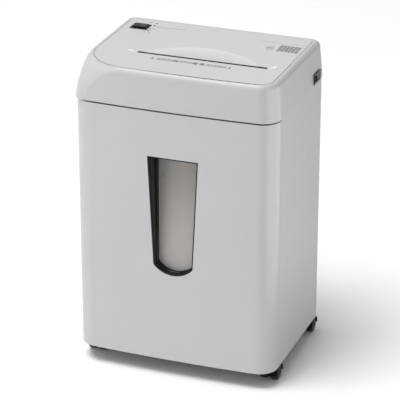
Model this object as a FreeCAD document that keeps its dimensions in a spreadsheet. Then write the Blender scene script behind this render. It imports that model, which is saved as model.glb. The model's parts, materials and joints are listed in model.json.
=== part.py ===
import FreeCAD, Part
import math
import os
import re
import Sketcher
from FreeCAD import Vector, Placement, Rotation

# Pull-out bin paper shredder on four twin-wheel casters.
# Millimetres, +Z up, front towards -Y, origin on the floor under the middle.

os.makedirs("parts", exist_ok=True)
doc = FreeCAD.newDocument("shredder")

sheet = doc.addObject("Spreadsheet::Sheet", "Dims")
ROWS = [
    ("width", 345.0), ("depth", 250.0), ("bow", 5.0), ("skirt_z", 29.5),
    ("seam_z", 470.0), ("head_rise", 63.0), ("wall_t", 3.0), ("front_gap", 2.5),
    ("corner_front", 32.0), ("corner_rear", 16.0), ("wrap_y", -93.0),
    ("overhang", 1.1), ("lean_side", 3.6), ("lean_left", 5.0), ("lean_rear", 8.0), ("rim_round", 9.0),
    ("panel_t", 2.5), ("panel_gap", 0.6), ("ledge_in", 6.0),
    ("panel_left", -158.5), ("panel_right", 159.5), ("panel_front", -118.5),
    ("panel_rear", 105.0), ("panel_bow", 4.5),
    ("slot_mid_x", 20.9), ("slot_mid_y", -45.0), ("slot_long", 220.4), ("slot_wide", 6.0),
    ("guide_radius", 121.0), ("guide_y", -114.5), ("guide_x", 17.5), ("guide_dip", 2.4), ("guide_lip", 0.8),
    ("shaft_gap", 34.0), ("shaft_z", 482.0), ("disc_radius", 19.0), ("core_radius", 12.0),
    ("shaft_radius", 8.0), ("disc_wide", 5.2), ("disc_pitch", 11.0), ("disc_count", 20),
    ("bush_radius", 11.0), ("run_clear", 0.05), ("plate_t", 4.0),
    ("chassis_z", 453.0), ("chassis_t", 3.0), ("gear_face", 8.0),
    ("motor_radius", 28.0), ("motor_long", 90.0), ("rotor_radius", 4.0),
    ("bin_half", 158.0), ("bin_front", -118.0), ("bin_rear", 100.0), ("bin_floor", 48.0),
    ("bin_top", 436.0), ("bin_wall", 2.2), ("rim_half", 168.0),
    ("window_top", 388.5), ("window_low", 187.0), ("window_x", 2.0),
    ("tray_wall", 2.0), ("tray_deep_top", 45.0), ("tray_deep_low", 17.0),
    ("base_z", 31.0), ("base_t", 4.0),
    ("caster_x", 154.0), ("caster_front", -84.0), ("caster_rear", 102.0), ("caster_trail", 8.0),
    ("wheel_radius", 13.0), ("wheel_wide", 11.0), ("stem_radius", 4.0), ("axle_radius", 2.5),
    ("mode_x", -130.5), ("mode_y", 68.5), ("mode_long", 30.0), ("mode_deep", 25.0),
    ("power_y", 82.0), ("power_z", 479.0), ("power_long", 33.0), ("power_high", 17.0),
]
for i, (alias, number) in enumerate(ROWS, start=1):
    sheet.set("A%d" % i, alias)
    sheet.set("B%d" % i, str(number))
    sheet.setAlias("B%d" % i, alias)
doc.recompute()
S = {alias: float(sheet.get(alias)) for alias, _ in ROWS}
NODES = []


# ---------------------------------------------------------------- helpers
def ex(text):
    return re.sub(r"[a-z][a-z_]*", lambda m: "Dims." + m.group(0) if m.group(0) in S else m.group(0), text)


def bind(obj, prop, value):
    if isinstance(value, str):
        obj.setExpression(prop, ex(value))
    elif "." in prop:
        obj.setExpression(prop, "%.6f" % value)
    else:
        setattr(obj, prop, value)


def place(obj, x, y, z):
    for name, value in (("x", x), ("y", y), ("z", z)):
        bind(obj, "Placement.Base." + name, value)


def box(name, x, y, z, dx, dy, dz):
    o = doc.addObject("Part::Box", name)
    bind(o, "Length", dx)
    bind(o, "Width", dy)
    bind(o, "Height", dz)
    place(o, x, y, z)
    return o


AXIS = {"x": Rotation(Vector(0, 1, 0), 90), "y": Rotation(Vector(1, 0, 0), -90), "z": Rotation()}


def cyl(name, axis, x, y, z, r, length):
    o = doc.addObject("Part::Cylinder", name)
    bind(o, "Radius", r)
    bind(o, "Height", length)
    o.Placement = Placement(Vector(0, 0, 0), AXIS[axis])
    place(o, x, y, z)
    return o


def fuse(name, parts):
    o = doc.addObject("Part::MultiFuse", name)
    o.Shapes = parts
    return o


def cut(name, base, tools):
    o = doc.addObject("Part::Cut", name)
    o.Base = base
    o.Tool = tools[0] if len(tools) == 1 else fuse(name + "_tools", tools)
    return o


def common(name, a, b):
    o = doc.addObject("Part::Common", name)
    o.Base = a
    o.Tool = b
    return o


def node(obj, label, x=None, y=None, z=None):
    obj.Label = label
    if x is not None:
        place(obj, x, y, z)
    NODES.append((label, obj))
    return obj


def feature(label, shape, at=(0, 0, 0), rot=None):
    o = doc.addObject("Part::Feature", label + "_part")
    o.Shape = shape
    o.Placement = Placement(Vector(*at), rot if rot else Rotation())
    return node(o, label)


def line(a, b):
    return Part.LineSegment(Vector(a[0], a[1], 0), Vector(b[0], b[1], 0))


def arc(a, m, b):
    return Part.Arc(Vector(a[0], a[1], 0), Vector(m[0], m[1], 0), Vector(b[0], b[1], 0))


def ring(r, cx=0.0, cy=0.0):
    return Part.Circle(Vector(cx, cy, 0), Vector(0, 0, 1), r)


def loop(points):
    """Closed chain through (x, y) or (x, y, radius) corners, rounded where a radius is given."""
    n = len(points)
    legs = []
    for i in range(n):
        p = Vector(points[i][0], points[i][1], 0)
        r = points[i][2] if len(points[i]) > 2 else 0.0
        if not r:
            legs.append((p, None, p))
            continue
        a = Vector(points[i - 1][0], points[i - 1][1], 0) - p
        b = Vector(points[(i + 1) % n][0], points[(i + 1) % n][1], 0) - p
        a.normalize()
        b.normalize()
        half = math.acos(max(-1.0, min(1.0, a.dot(b)))) / 2
        t = r / math.tan(half)
        mid = a + b
        mid.normalize()
        centre = p + mid * (r / math.sin(half))
        legs.append((p + a * t, centre - mid * r, p + b * t))
    out = []
    for i in range(n):
        s, m, e = legs[i]
        if m is not None:
            out.append(Part.Arc(s, m, e))
        nxt = legs[(i + 1) % n][0]
        if (nxt - e).Length > 1e-6:
            out.append(Part.LineSegment(e, nxt))
    return out


def rect(x0, y0, x1, y1, r=0.0):
    c = (r,) if r else ()
    return loop([(x0, y0) + c, (x1, y0) + c, (x1, y1) + c, (x0, y1) + c])


def sketch_on(body, role, offset, geoms):
    plane = [f for f in body.Origin.OriginFeatures if f.Role == role][0]
    sk = body.newObject("Sketcher::SketchObject", body.Name + "_profile")
    sk.AttachmentSupport = [(plane, "")]
    sk.MapMode = "FlatFace"
    sk.AttachmentOffset = Placement(Vector(0, 0, 0), Rotation())
    bind(sk, "AttachmentOffset.Base.z", offset)
    for g in geoms:
        sk.addGeometry(g, False)
    return sk


def new_body(label):
    return node(doc.addObject("PartDesign::Body", label + "_body"), label)


def pad(body, role, offset, geoms, length, reverse=False):
    sk = sketch_on(body, role, offset, geoms)
    p = body.newObject("PartDesign::Pad", body.Name + "_pad")
    p.Profile = sk
    bind(p, "Length", length)
    p.Reversed = reverse
    doc.recompute()
    return p


def pocket(body, role, offset, geoms, length, reverse=False):
    before = body.Shape.Volume
    sk = sketch_on(body, role, offset, geoms)
    p = body.newObject("PartDesign::Pocket", body.Name + "_pocket")
    p.Profile = sk
    bind(p, "Length", length)
    p.Reversed = reverse
    doc.recompute()
    if body.Shape.Volume > before - 1e-3:
        raise RuntimeError(body.Label + ": a pocket removed nothing")
    return p


def move(shape, x=0, y=0, z=0):
    c = shape.copy()
    c.translate(Vector(x, y, z))
    return c


# ------------------------------------------------- plan outline of the housing
def bowed(hl, hr, yf, bow, yr, rfl, rfr, rrl, rrr, shoulder=None):
    """Edges of a plan outline whose front is an arc bowed outwards by bow."""
    half = (hl + hr) / 2
    xm = (hr - hl) / 2
    big = half * half / (2 * bow) + bow / 2
    yc = yf - bow + big

    def front(x):
        return yc - math.sqrt(big * big - (x - xm) ** 2)

    def corner(side, r):
        cx = side - r if side > 0 else side + r
        cy = yc - math.sqrt((big - r) ** 2 - (cx - xm) ** 2)
        d = Vector(cx - xm, cy - yc, 0)
        d.normalize()
        t = Vector(cx, cy, 0) + d * r
        s = Vector(side, cy, 0)
        m = (t - Vector(cx, cy, 0)) + (s - Vector(cx, cy, 0))
        m.normalize()
        return t, Vector(cx, cy, 0) + m * r, s

    tr, mr, sr = corner(hr, rfr)
    if shoulder:
        a, b, turn = shoulder
        tl = Vector(-hl + a, front(-hl + a), 0)
        sl = Vector(-hl, yf + b, 0)
        ml = Vector(-hl, tl.y + a * math.tan(math.radians(turn)), 0)
    else:
        tl, ml, sl = corner(-hl, rfl)
    c = math.cos(math.pi / 4)
    edges = [
        Part.Arc(tl, Vector(xm, yf - bow, 0), tr).toShape(),
        Part.Arc(tr, mr, sr).toShape(),
        Part.makeLine(sr, Vector(hr, yr - rrr, 0)),
        Part.Arc(Vector(hr, yr - rrr, 0), Vector(hr - rrr + rrr * c, yr - rrr + rrr * c, 0), Vector(hr - rrr, yr, 0)).toShape(),
        Part.makeLine(Vector(hr - rrr, yr, 0), Vector(-hl + rrl, yr, 0)),
        Part.Arc(Vector(-hl + rrl, yr, 0), Vector(-hl + rrl - rrl * c, yr - rrl + rrl * c, 0), Vector(-hl, yr - rrl, 0)).toShape(),
        Part.makeLine(Vector(-hl, yr - rrl, 0), sl),
    ]
    if shoulder:
        curve = Part.BezierCurve()
        curve.setPoles([sl, ml, tl])
        edges.append(curve.toShape())
    else:
        edges.append(Part.Arc(sl, ml, tl).toShape())
    return edges


def wire_at(edges, z):
    w = Part.Wire(edges)
    w.translate(Vector(0, 0, z))
    return w


def table(rows, z):
    if z <= rows[0][0]:
        return rows[0][1]
    for (z0, v0), (z1, v1) in zip(rows, rows[1:]):
        if z <= z1:
            return v0 + (v1 - v0) * (z - z0) / (z1 - z0)
    return rows[-1][1]


HW = S["width"] / 2
YF = -S["depth"] / 2
YR = S["depth"] / 2
SEAM = S["seam_z"]
TOP = SEAM + S["head_rise"]

# Swept shoulder at the front-left corner of the head: how far the corner cut
# runs along the front face and along the side wall at each height.
RUN_FRONT = [(0, 27.0), (10, 27.5), (20, 29.0), (27, 32.0), (33, 36.0), (40, 42.5), (47, 50.0), (53, 58.0), (57, 65.0), (61, 74.0), (66, 80.0)]
RUN_SIDE = [(0, 27.0), (10, 28.5), (20, 32.0), (27, 36.5), (33, 41.0), (40, 47.5), (47, 56.0), (53, 65.0), (57, 73.0), (61, 81.0), (66, 86.0)]
TURN = [(0, 2.0), (8, 8.0), (20, 14.0), (66, 14.0)]
ZK = S["head_rise"] / 66.0
RUN_FRONT = [(z * ZK, v) for z, v in RUN_FRONT]
RUN_SIDE = [(z * ZK, v) for z, v in RUN_SIDE]
TURN = [(z * ZK, v) for z, v in TURN]


def head_wire(z, inset):
    rise = S["head_rise"]
    hr = HW + S["overhang"] - S["lean_side"] * z / rise - inset
    hl = HW + S["overhang"] - S["lean_left"] * z / rise - inset
    yr = YR - S["lean_rear"] * z / rise - inset
    rr = max(3.0, 14.0 - inset)
    sh = (table(RUN_FRONT, z) - inset * 0.45, table(RUN_SIDE, z) - inset * 0.45, table(TURN, z))
    return wire_at(bowed(hl, hr, YF + inset, S["bow"], yr, 0, max(8.0, 31.0 - inset), rr, rr, sh), SEAM + z)


def head_solid(inset, z_low, z_top, round_r):
    levels = [(z_low, inset)]
    for z in [v * S["head_rise"] / 66.0 for v in (10, 20, 27, 33, 40, 47, 53)]:
        if z_low + 2 < z < z_top - round_r - 2:
            levels.append((z, inset))
    for deg in (0, 18, 36, 54, 72, 90):
        a = math.radians(deg)
        levels.append((z_top - round_r + round_r * math.sin(a), inset + round_r * (1 - math.cos(a))))
    wires = [head_wire(max(0.0, z), i) for z, i in levels]
    if z_low < 0:
        wires[0].translate(Vector(0, 0, z_low))
    return Part.makeLoft(wires, True, True)


def panel_face(grow, z):
    hl = -S["panel_left"] + grow
    hr = S["panel_right"] + grow
    edges = bowed(hl, hr, S["panel_front"] - grow, S["panel_bow"], S["panel_rear"] + grow, 74.0 + grow, 22.0 + grow, max(2.0, 11.0 + grow), max(2.0, 8.0 + grow))
    return Part.Face(wire_at(edges, z))


def prism(face, dz):
    return face.extrude(Vector(0, 0, dz))


def shape_box(x0, y0, z0, x1, y1, z1):
    return Part.makeBox(x1 - x0, y1 - y0, z1 - z0, Vector(x0, y0, z0))


def shape_cyl(axis, x, y, z, r, length):
    d = {"x": Vector(1, 0, 0), "y": Vector(0, 1, 0), "z": Vector(0, 0, 1)}[axis]
    return Part.makeCylinder(r, length, Vector(x, y, z), d)


# ================================================================= cabinet
WT = S["wall_t"]
WRAP = S["wrap_y"]
RR = S["corner_rear"]


def u_profile():
    out = HW
    inn = HW - WT
    c = math.cos(math.pi / 4)
    ri = RR - WT
    p = [
        line((-inn, WRAP), (-out, WRAP)),
        line((-out, WRAP), (-out, YR - RR)),
        arc((-out, YR - RR), (-out + RR - RR * c, YR - RR + RR * c), (-out + RR, YR)),
        line((-out + RR, YR), (out - RR, YR)),
        arc((out - RR, YR), (out - RR + RR * c, YR - RR + RR * c), (out, YR - RR)),
        line((out, YR - RR), (out, WRAP)),
        line((out, WRAP), (inn, WRAP)),
        line((inn, WRAP), (inn, YR - RR)),
        arc((inn, YR - RR), (inn - ri + ri * c, YR - RR + ri * c), (inn - ri, YR - WT)),
        line((inn - ri, YR - WT), (-inn + ri, YR - WT)),
        arc((-inn + ri, YR - WT), (-inn + ri - ri * c, YR - RR + ri * c), (-inn, YR - RR)),
        line((-inn, YR - RR), (-inn, WRAP)),
    ]
    return p


shell = new_body("cabinet_shell")
pad(shell, "XY_Plane", "skirt_z", u_profile(), "seam_z - skirt_z - 0.3")
for sx in (-1, 1):
    x0, x1 = sorted((sx * (HW - WT + 0.5), sx * (HW - WT - 10)))
    pad(shell, "XY_Plane", "chassis_z - 7", rect(x0, -80, x1, 110), 7.0)
# cut-out for the power inlet and six screw holes in the back wall
pocket(shell, "XZ_Plane", -YR - 1, rect(107.5, 400.5, 134.5, 421.5, 0.4), 8.0, True)
BACK_SCREWS = [(x, z) for z in (60.0, 250.0, 462.0) for x in (-140.0, 140.0)]
pocket(shell, "XZ_Plane", -YR - 1, [ring(1.7, x, z) for x, z in BACK_SCREWS], 8.0, True)
# cooling louvres high in the back wall
pocket(shell, "XZ_Plane", -YR - 1, [g for i in range(9) for g in rect(-88 + i * 12, 441, -83 + i * 12, 447, 2.4)], 8.0, True)

base = new_body("base_plate")
pad(base, "XY_Plane", "base_z",
    loop([(-169.5, -91), (-160, -108, 6), (-146, -115, 6), (146, -115, 6), (160, -108, 6), (169.5, -91), (169.5, 108.5), (159, 121.5, 8), (-159, 121.5, 8), (-169.5, 108.5)]),
    "base_t")
CASTERS = [("front_left", -S["caster_x"], S["caster_front"]), ("front_right", S["caster_x"], S["caster_front"]),
           ("rear_left", -S["caster_x"], S["caster_rear"]), ("rear_right", S["caster_x"], S["caster_rear"])]
pocket(base, "XY_Plane", "base_z + base_t", [ring(7.0, x, y) for _, x, y in CASTERS], 10.0)
for i in range(5):
    x = -120 + i * 60
    pad(base, "XY_Plane", "base_z + base_t - 0.5", rect(x - 1.5, -105, x + 1.5, 115), 8.5)

# Sockets pressed in the base plate that take the caster stems.
sock = shape_cyl("z", 0, 0, S["base_z"], 7.0, 13).fuse(shape_cyl("z", 0, 0, S["base_z"] + S["base_t"], 10.0, 2))
sock = sock.cut(shape_cyl("z", 0, 0, S["base_z"] - 1, S["stem_radius"] + S["run_clear"], 13))
feature("caster_sockets", Part.makeCompound([move(sock, x, y) for _, x, y in CASTERS]))

rail_z = S["bin_top"] - 2.5 - 0.3
for side, sx in (("left", -1), ("right", 1)):
    xa = "width/2 - wall_t - 10.7" if sx > 0 else "-width/2 + wall_t"
    track = box("rail_%s_track" % side, xa, -88.0, "bin_top - 14.8", 10.7, 196.0, 12.0)
    slot = box("rail_%s_slot" % side, "width/2 - wall_t - 7.7" if sx > 0 else "-width/2 + wall_t", -80.0, "bin_top - 11.8", 7.7, 180.0, 6.0)
    node(cut("rail_%s_cut" % side, track, [slot]), "rail_" + side)

node(box("crossbar_box", "-width/2 + wall_t", "wrap_y + 1", 439.5, "width - 2*wall_t", 3.0, 13.2), "front_crossbar")

# =================================================================== head
outer = head_solid(0.0, 0.0, S["head_rise"], S["rim_round"])
inner = head_solid(WT, -1.0, S["head_rise"] - 4.5, S["rim_round"] - 2.0)
head = outer.cut(inner)
head = head.cut(prism(panel_face(S["panel_gap"], TOP - S["panel_t"]), 10))
head = head.cut(prism(panel_face(-S["ledge_in"], TOP - 12), 20))
# spigots that locate the head inside the cabinet walls
for sx in (-1, 1):
    x0, x1 = sorted((sx * (HW - WT - 0.3), sx * (HW - WT - 3.3)))
    head = head.fuse(shape_box(x0, -80, SEAM - 9, x1, 100, SEAM + 0.0))
    head = head.fuse(shape_box(min(x0, sx * 171.2), -80, SEAM, max(x1, sx * 171.2), 100, SEAM + 6))
head = head.fuse(shape_box(-150, YR - WT - 3.3, SEAM - 14, 150, YR - WT - 0.3, SEAM + 4))
head = head.fuse(shape_box(-150, YR - WT - 3.3, SEAM, 150, YR - 1.5, SEAM + 4))
for x in (-140.0, 140.0):
    head = head.cut(shape_cyl("y", x, YR - 12, 462.0, 1.6, 9.5))
PY, PZ, PL, PH = S["power_y"], S["power_z"], S["power_long"], S["power_high"]
head = head.cut(shape_box(160, PY - PL / 2 + 2.2, PZ - PH / 2 + 2.2, 180, PY + PL / 2 - 2.2, PZ + PH / 2 - 2.2))
for i in range(10):
    x = -98 + i * 11
    head = head.cut(shape_box(x, 100, SEAM + 18, x + 5, 135, SEAM + 46))
head = head.removeSplitter()
feature("head_cover", head)

# Inlaid top panel with the paper slot and the dished paper guide behind it.
panel = prism(panel_face(0.0, TOP - S["panel_t"]), S["panel_t"])
SX, SY, SL, SW = S["slot_mid_x"], S["slot_mid_y"], S["slot_long"], S["slot_wide"]
# shallow scoop behind the slot: an arc turned about a vertical axis
yb = SY + SW / 2
gr = S["guide_radius"]
gi = yb - S["guide_y"]
gm = (gr + gi) / 2
scoop = Part.Wire([
    Part.Arc(Vector(gr + 4.0, 0, 0.72), Vector(gm, 0, -S["guide_dip"] - S["guide_lip"] / 2), Vector(gi - 4.0, 0, -0.15)).toShape(),
    Part.makeLine(Vector(gi - 4.0, 0, -0.15), Vector(gi - 4.0, 0, 4)),
    Part.makeLine(Vector(gi - 4.0, 0, 4), Vector(gr + 4.0, 0, 4)),
    Part.makeLine(Vector(gr + 4.0, 0, 4), Vector(gr + 4.0, 0, 0.72))])
scoop = Part.Face(scoop).revolve(Vector(0, 0, 0), Vector(0, 0, 1), 360)
scoop = move(scoop, S["guide_x"], S["guide_y"], TOP).common(shape_box(-140, yb, TOP - 16, 150, 20, TOP + 5))
panel = panel.fuse(shape_box(-86, yb + 0.4, TOP - S["panel_t"] - 2.6, 122, 10, TOP - S["panel_t"] + 0.5)).cut(scoop)
panel = panel.cut(shape_box(SX - SL / 2, SY - SW / 2, TOP - 20, SX + SL / 2, SY + SW / 2, TOP + 5))
# straight chamfer along the front lip of the slot
lip = Part.Face(Part.makePolygon([Vector(0, SY - SW / 2 - 1.6, TOP + 0.01), Vector(0, SY - SW / 2 + 0.1, TOP + 0.01), Vector(0, SY - SW / 2 + 0.1, TOP - 1.6), Vector(0, SY - SW / 2 - 1.6, TOP + 0.01)])).extrude(Vector(SL, 0, 0))
panel = panel.cut(move(lip, SX - SL / 2))
panel = panel.cut(shape_box(S["mode_x"] - S["mode_long"] / 2 + 1.5, S["mode_y"] - S["mode_deep"] / 2 + 1.5, TOP - 20, S["mode_x"] + S["mode_long"] / 2 - 1.5, S["mode_y"] + S["mode_deep"] / 2 - 1.5, TOP + 5))
# fine crease across the rear of the panel
panel = panel.cut(shape_box(80.5, 72.2, TOP - 0.8, 158, 73.2, TOP + 1))
panel = panel.removeSplitter()
feature("top_panel", panel)

throat_low = 503.0
throat = new_body("paper_throat")
pad(throat, "XY_Plane", throat_low, rect(SX - SL / 2 - 2.8, SY - SW / 2 - 2.5, SX + SL / 2 + 2.8, SY + SW / 2 + 2.5, 1.5), 22.0)
pocket(throat, "XY_Plane", throat_low + 22.0, rect(SX - SL / 2 - 0.3, SY - SW / 2, SX + SL / 2 + 0.3, SY + SW / 2), 30.0)
pocket(throat, "XY_Plane", throat_low - 0.0, rect(109.4, SY + 1, 114.6, SY + 10), 12.0, True)

# Generic instruction sheet of blank cells and a blank oval, both on the panel.
feature("instruction_label", Part.makeCompound([shape_box(117, 34, TOP, 154.5, 64, TOP + 0.25), shape_box(97.5, 37, TOP, 111.5, 53, TOP + 0.25)]))
feature("indicator_lenses", Part.makeCompound([shape_cyl("z", -110.5, y, TOP, 1.4, 0.7) for y in (91.5, 80.5, 62.0, 52.5)]))

# ------------------------------------------------------- rocker switches
MX, MY, ML, MD = S["mode_x"], S["mode_y"], S["mode_long"], S["mode_deep"]
bz = box("mode_bezel_body", "mode_x - mode_long/2 + 1.9", "mode_y - mode_deep/2 + 1.9", "seam_z + head_rise - 24", "mode_long - 3.8", "mode_deep - 3.8", 25.2)
fl = box("mode_bezel_flange", "mode_x - mode_long/2", "mode_y - mode_deep/2", "seam_z + head_rise", "mode_long", "mode_deep", 1.2)
hole = box("mode_bezel_hole", "mode_x - mode_long/2 + 3.1", "mode_y - mode_deep/2 + 2.9", "seam_z + head_rise - 20", "mode_long - 6.2", "mode_deep - 5.8", 30.0)
node(cut("mode_bezel_cut", fuse("mode_bezel_fuse", [bz, fl]), [hole, cyl("mode_pivot_bore", "x", "mode_x - mode_long/2 + 1.0", "mode_y", "seam_z + head_rise - 8", 1.55, "mode_long - 2.0")]), "mode_switch_housing")
mp = TOP - 8.0  # pivot height of the mode rocker
hx = ML / 2 - 3.5
prof = [(-8.0, 11.6), (0.0, 9.6), (8.0, 11.6), (8.1, 2.0), (5.0, -5.0), (-5.0, -5.0), (-8.1, 2.0), (-8.0, 11.6)]
rk = Part.Face(Part.makePolygon([Vector(-hx, y, z) for y, z in prof])).extrude(Vector(2 * hx, 0, 0))
rk = rk.fuse(Part.makeBox(8, 2.0, 1.2, Vector(-4, -1.0, 9.2)))
rk = rk.fuse(shape_cyl("x", -hx - 1.3, 0, 0, 1.5, 2 * hx + 2.6))
feature("mode_rocker", rk, (MX, MY, mp))

wx = HW + S["overhang"] - S["lean_side"] * 10.5 / S["head_rise"]
pw = box("power_bezel_body", wx - 24, "power_y - power_long/2 + 2.4", "power_z - power_high/2 + 2.4", 25.2, "power_long - 4.8", "power_high - 4.8")
pf = box("power_bezel_flange", wx + 0.6, "power_y - power_long/2", "power_z - power_high/2", 1.6, "power_long", "power_high")
ph = box("power_bezel_hole", wx - 14, "power_y - power_long/2 + 3.6", "power_z - power_high/2 + 3.4", 30.0, "power_long - 7.2", "power_high - 6.8")
node(cut("power_bezel_cut", fuse("power_bezel_fuse", [pw, pf]), [ph, cyl("power_pivot_bore", "z", wx - 6.0, "power_y", "power_z - power_high/2 + 2.0", 1.55, "power_high - 4.0")]), "power_switch_housing")
hz = PH / 2 - 3.8
prof = [(9.2, -10.6), (7.0, 0.0), (9.2, 10.6), (0.0, 10.9), (-5.0, 6.0), (-5.0, -6.0), (0.0, -10.9), (9.2, -10.6)]
rk = Part.Face(Part.makePolygon([Vector(x, y, -hz) for x, y in prof])).extrude(Vector(0, 0, 2 * hz))
rk = rk.fuse(shape_cyl("z", 0, 0, -hz - 1.2, 1.5, 2 * hz + 2.4))
POWER_TILT = 6.0
feature("power_rocker", rk, (wx - 6.0, PY, PZ), Rotation(Vector(0, 0, 1), POWER_TILT))

# ---------------------------------------------------- cutter block, fixed
ch = new_body("chassis_plate")
pad(ch, "XY_Plane", "chassis_z", rect(-165, -87.5, 165, 116, 4.0), "chassis_t")
pocket(ch, "XY_Plane", "chassis_z + chassis_t", rect(-90, -86, 134, -18, 3.0), 10.0)

CZ = S["chassis_z"] + S["chassis_t"]
YFS = SY - S["shaft_gap"] / 2
YRS = SY + S["shaft_gap"] / 2
SZ = S["shaft_z"]
XL0, XL1 = -98.0, -94.0
XR0, XR1 = 138.8, 142.8

# gear train data: module, teeth
M_SYNC, Z_SYNC = 2.0, 17
M_LOW, Z_DRIVE, Z_MID_SMALL = 1.25, 36, 18
M_HIGH, Z_MID_BIG, Z_MOTOR = 1.0, 40, 12
MID_Y = YRS + M_LOW * (Z_DRIVE + Z_MID_SMALL) / 2
MID_Z = SZ
BETA = math.radians(20)
MOT_D = M_HIGH * (Z_MID_BIG + Z_MOTOR) / 2
MOT_Y = MID_Y + MOT_D * math.cos(BETA)
MOT_Z = MID_Z + MOT_D * math.sin(BETA)

bore = S["bush_radius"] + 0.05
pl = new_body("side_plate_left")
pad(pl, "YZ_Plane", XL0, loop([(-96, CZ), (56, CZ), (56, 524, 8), (-6, 524, 8), (-12, 512, 6), (-96, 512, 8)]), "plate_t")
pocket(pl, "YZ_Plane", XL1, [ring(bore, YFS, SZ), ring(bore, YRS, SZ), ring(3.02, MID_Y, MID_Z), ring(9.0, MOT_Y, MOT_Z),
                             ring(4.02, -90, 502), ring(4.02, -90, 462), ring(4.02, -12, 502), ring(4.02, -12, 463)], 10.0)
pr = new_body("side_plate_right")
pad(pr, "YZ_Plane", XR0, loop([(-96, CZ), (-4, CZ), (-4, 512, 8), (-96, 512, 8)]), "plate_t")
pocket(pr, "YZ_Plane", XR1, [ring(bore, YFS, SZ), ring(bore, YRS, SZ),
                             ring(4.02, -90, 502), ring(4.02, -90, 462), ring(4.02, -12, 502), ring(4.02, -12, 463)], 10.0)

bl = shape_cyl("x", XL0 - 1.5, 0, 0, S["bush_radius"], 5.5).fuse(shape_cyl("x", XL1, 0, 0, 13.0, 1.5))
bl = bl.cut(shape_cyl("x", XL0 - 5, 0, 0, S["shaft_radius"] + S["run_clear"], 20))
br = shape_cyl("x", XR0, 0, 0, S["bush_radius"], 5.0).fuse(shape_cyl("x", XR0 - 1.5, 0, 0, 13.0, 1.5))
br = br.cut(shape_cyl("x", XR0 - 5, 0, 0, S["shaft_radius"] + S["run_clear"], 20))
feature("cutter_bushes", Part.makeCompound([move(b, 0, y, SZ) for b in (bl, br) for y in (YFS, YRS)]))
feature("tie_rods", Part.makeCompound([shape_cyl("x", XL0 - 1.0, y, z, 4.0, XR1 - XL0 + 2.0) for y, z in ((-90, 502), (-90, 462), (-12, 502), (-12, 463))]))

PITCH, NDISC, DW = S["disc_pitch"], int(S["disc_count"]), S["disc_wide"]
X0 = SX - PITCH * NDISC / 2
reach = S["core_radius"] + 0.5


def comb(y_bar, y_tip, lead):
    lo, hi = sorted((y_bar, y_tip))
    s = shape_box(XL1 + 0.2, min(y_bar, y_bar), 474, XR0 - 0.2, y_bar + 4, 490) if y_bar < y_tip else shape_box(XL1 + 0.2, y_bar - 4, 474, XR0 - 0.2, y_bar, 490)
    teeth = []
    for i in range(NDISC):
        x = X0 + PITCH * i + lead
        if x + 4.4 > X0 + PITCH * NDISC + 5:
            continue
        teeth.append(shape_box(x, lo, 478, x + 4.4, hi, 486))
    return s.multiFuse(teeth)


front_comb = comb(-95.0, YFS - reach, 0.55).removeSplitter()
rear_comb = comb(-4.4, YRS + reach, 6.15).removeSplitter()
feature("stripper_front", front_comb)
feature("stripper_rear", rear_comb)

node(cut("motor_cut", fuse("motor_fuse", [
    cyl("motor_can", "x", XL1, MOT_Y, MOT_Z, "motor_radius", "motor_long"),
    cyl("motor_boss", "x", XL0 + 0.3, MOT_Y, MOT_Z, 8.6, 10.0),
    cyl("motor_cap", "x", "%f + motor_long" % XL1, MOT_Y, MOT_Z, 11.0, 3.0)]),
    [cyl("motor_bore", "x", XL0 - 5, MOT_Y, MOT_Z, "rotor_radius + run_clear", 120.0)]), "motor_body")
sad = box("saddle_box", -62.0, MOT_Y - 25, "chassis_z + chassis_t", 40.0, 50.0, 22.0)
node(cut("saddle_cut", sad, [cyl("saddle_bore", "x", -80.0, MOT_Y, MOT_Z, "motor_radius + 0.3", 80.0)]), "motor_saddle")
feature("intermediate_axle", shape_cyl("x", -138.5, MID_Y, MID_Z, 3.0, 44.5).fuse(shape_cyl("x", -138.5, MID_Y, MID_Z, 5.0, 2.0)))

# control board standing on the chassis behind the cutters
cb = box("board_sheet", 20.0, 92.0, "chassis_z + chassis_t + 4", 104.0, 1.6, 44.0)
node(cut("board_cut", cb, [cyl("board_hole_a", "y", 25.0, 90.0, "chassis_z + chassis_t + 9", 1.6, 6.0), cyl("board_hole_b", "y", 119.0, 90.0, "chassis_z + chassis_t + 9", 1.6, 6.0)]), "control_board")
parts = [shape_cyl("y", 40, 74, 480, 8.0, 18), shape_box(56, 76, 468, 75, 92, 484), shape_box(80, 78, 468, 110, 92, 476),
         shape_box(82, 84, 484, 96, 92, 492), shape_cyl("y", 108, 84, 488, 4.0, 8)]
feature("board_components", Part.makeCompound(parts))
feature("board_standoffs", Part.makeCompound([shape_box(22 + i * 90, 88, CZ, 34 + i * 90, 91.9, CZ + 3.9).fuse(shape_box(22 + i * 90, 93.7, CZ, 34 + i * 90, 97, CZ + 12)).fuse(shape_box(22 + i * 90, 88, CZ, 34 + i * 90, 97, CZ + 1.6)) for i in range(2)]))

# lever-type paper sensor beside the throat
sb = shape_box(105, SY + SW / 2 + 2.5, 506, 119, SY + SW / 2 + 12, 517).cut(shape_box(109.6, -60, 500, 114.4, -30, 520))
sb = sb.fuse(shape_box(105, SY + SW / 2 + 10.5, 506, 119, SY + SW / 2 + 12, 517))
PVY, PVZ = SY + SW / 2 + 7.0, 511.5
sb = sb.cut(shape_cyl("x", 104, PVY, PVZ, 1.5 + S["run_clear"], 16))
feature("sensor_bracket", sb)

# door interlock switch on the crossbar
ib = box("interlock_box", 90.0, -104.0, 440.0, 20.0, 12.0, 12.5)
node(cut("interlock_cut", ib, [cyl("interlock_bore", "y", 100.0, -105.0, 446.5, 2.0 + 0.06, 9.0)]), "interlock_switch")
pg = fuse("plunger_fuse", [cyl("plunger_pin", "y", 100.0, -108.0, 446.5, 2.0, 8.0), cyl("plunger_head", "y", 100.0, -110.0, 446.5, 3.5, 2.0)])
node(pg, "interlock_plunger")

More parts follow.
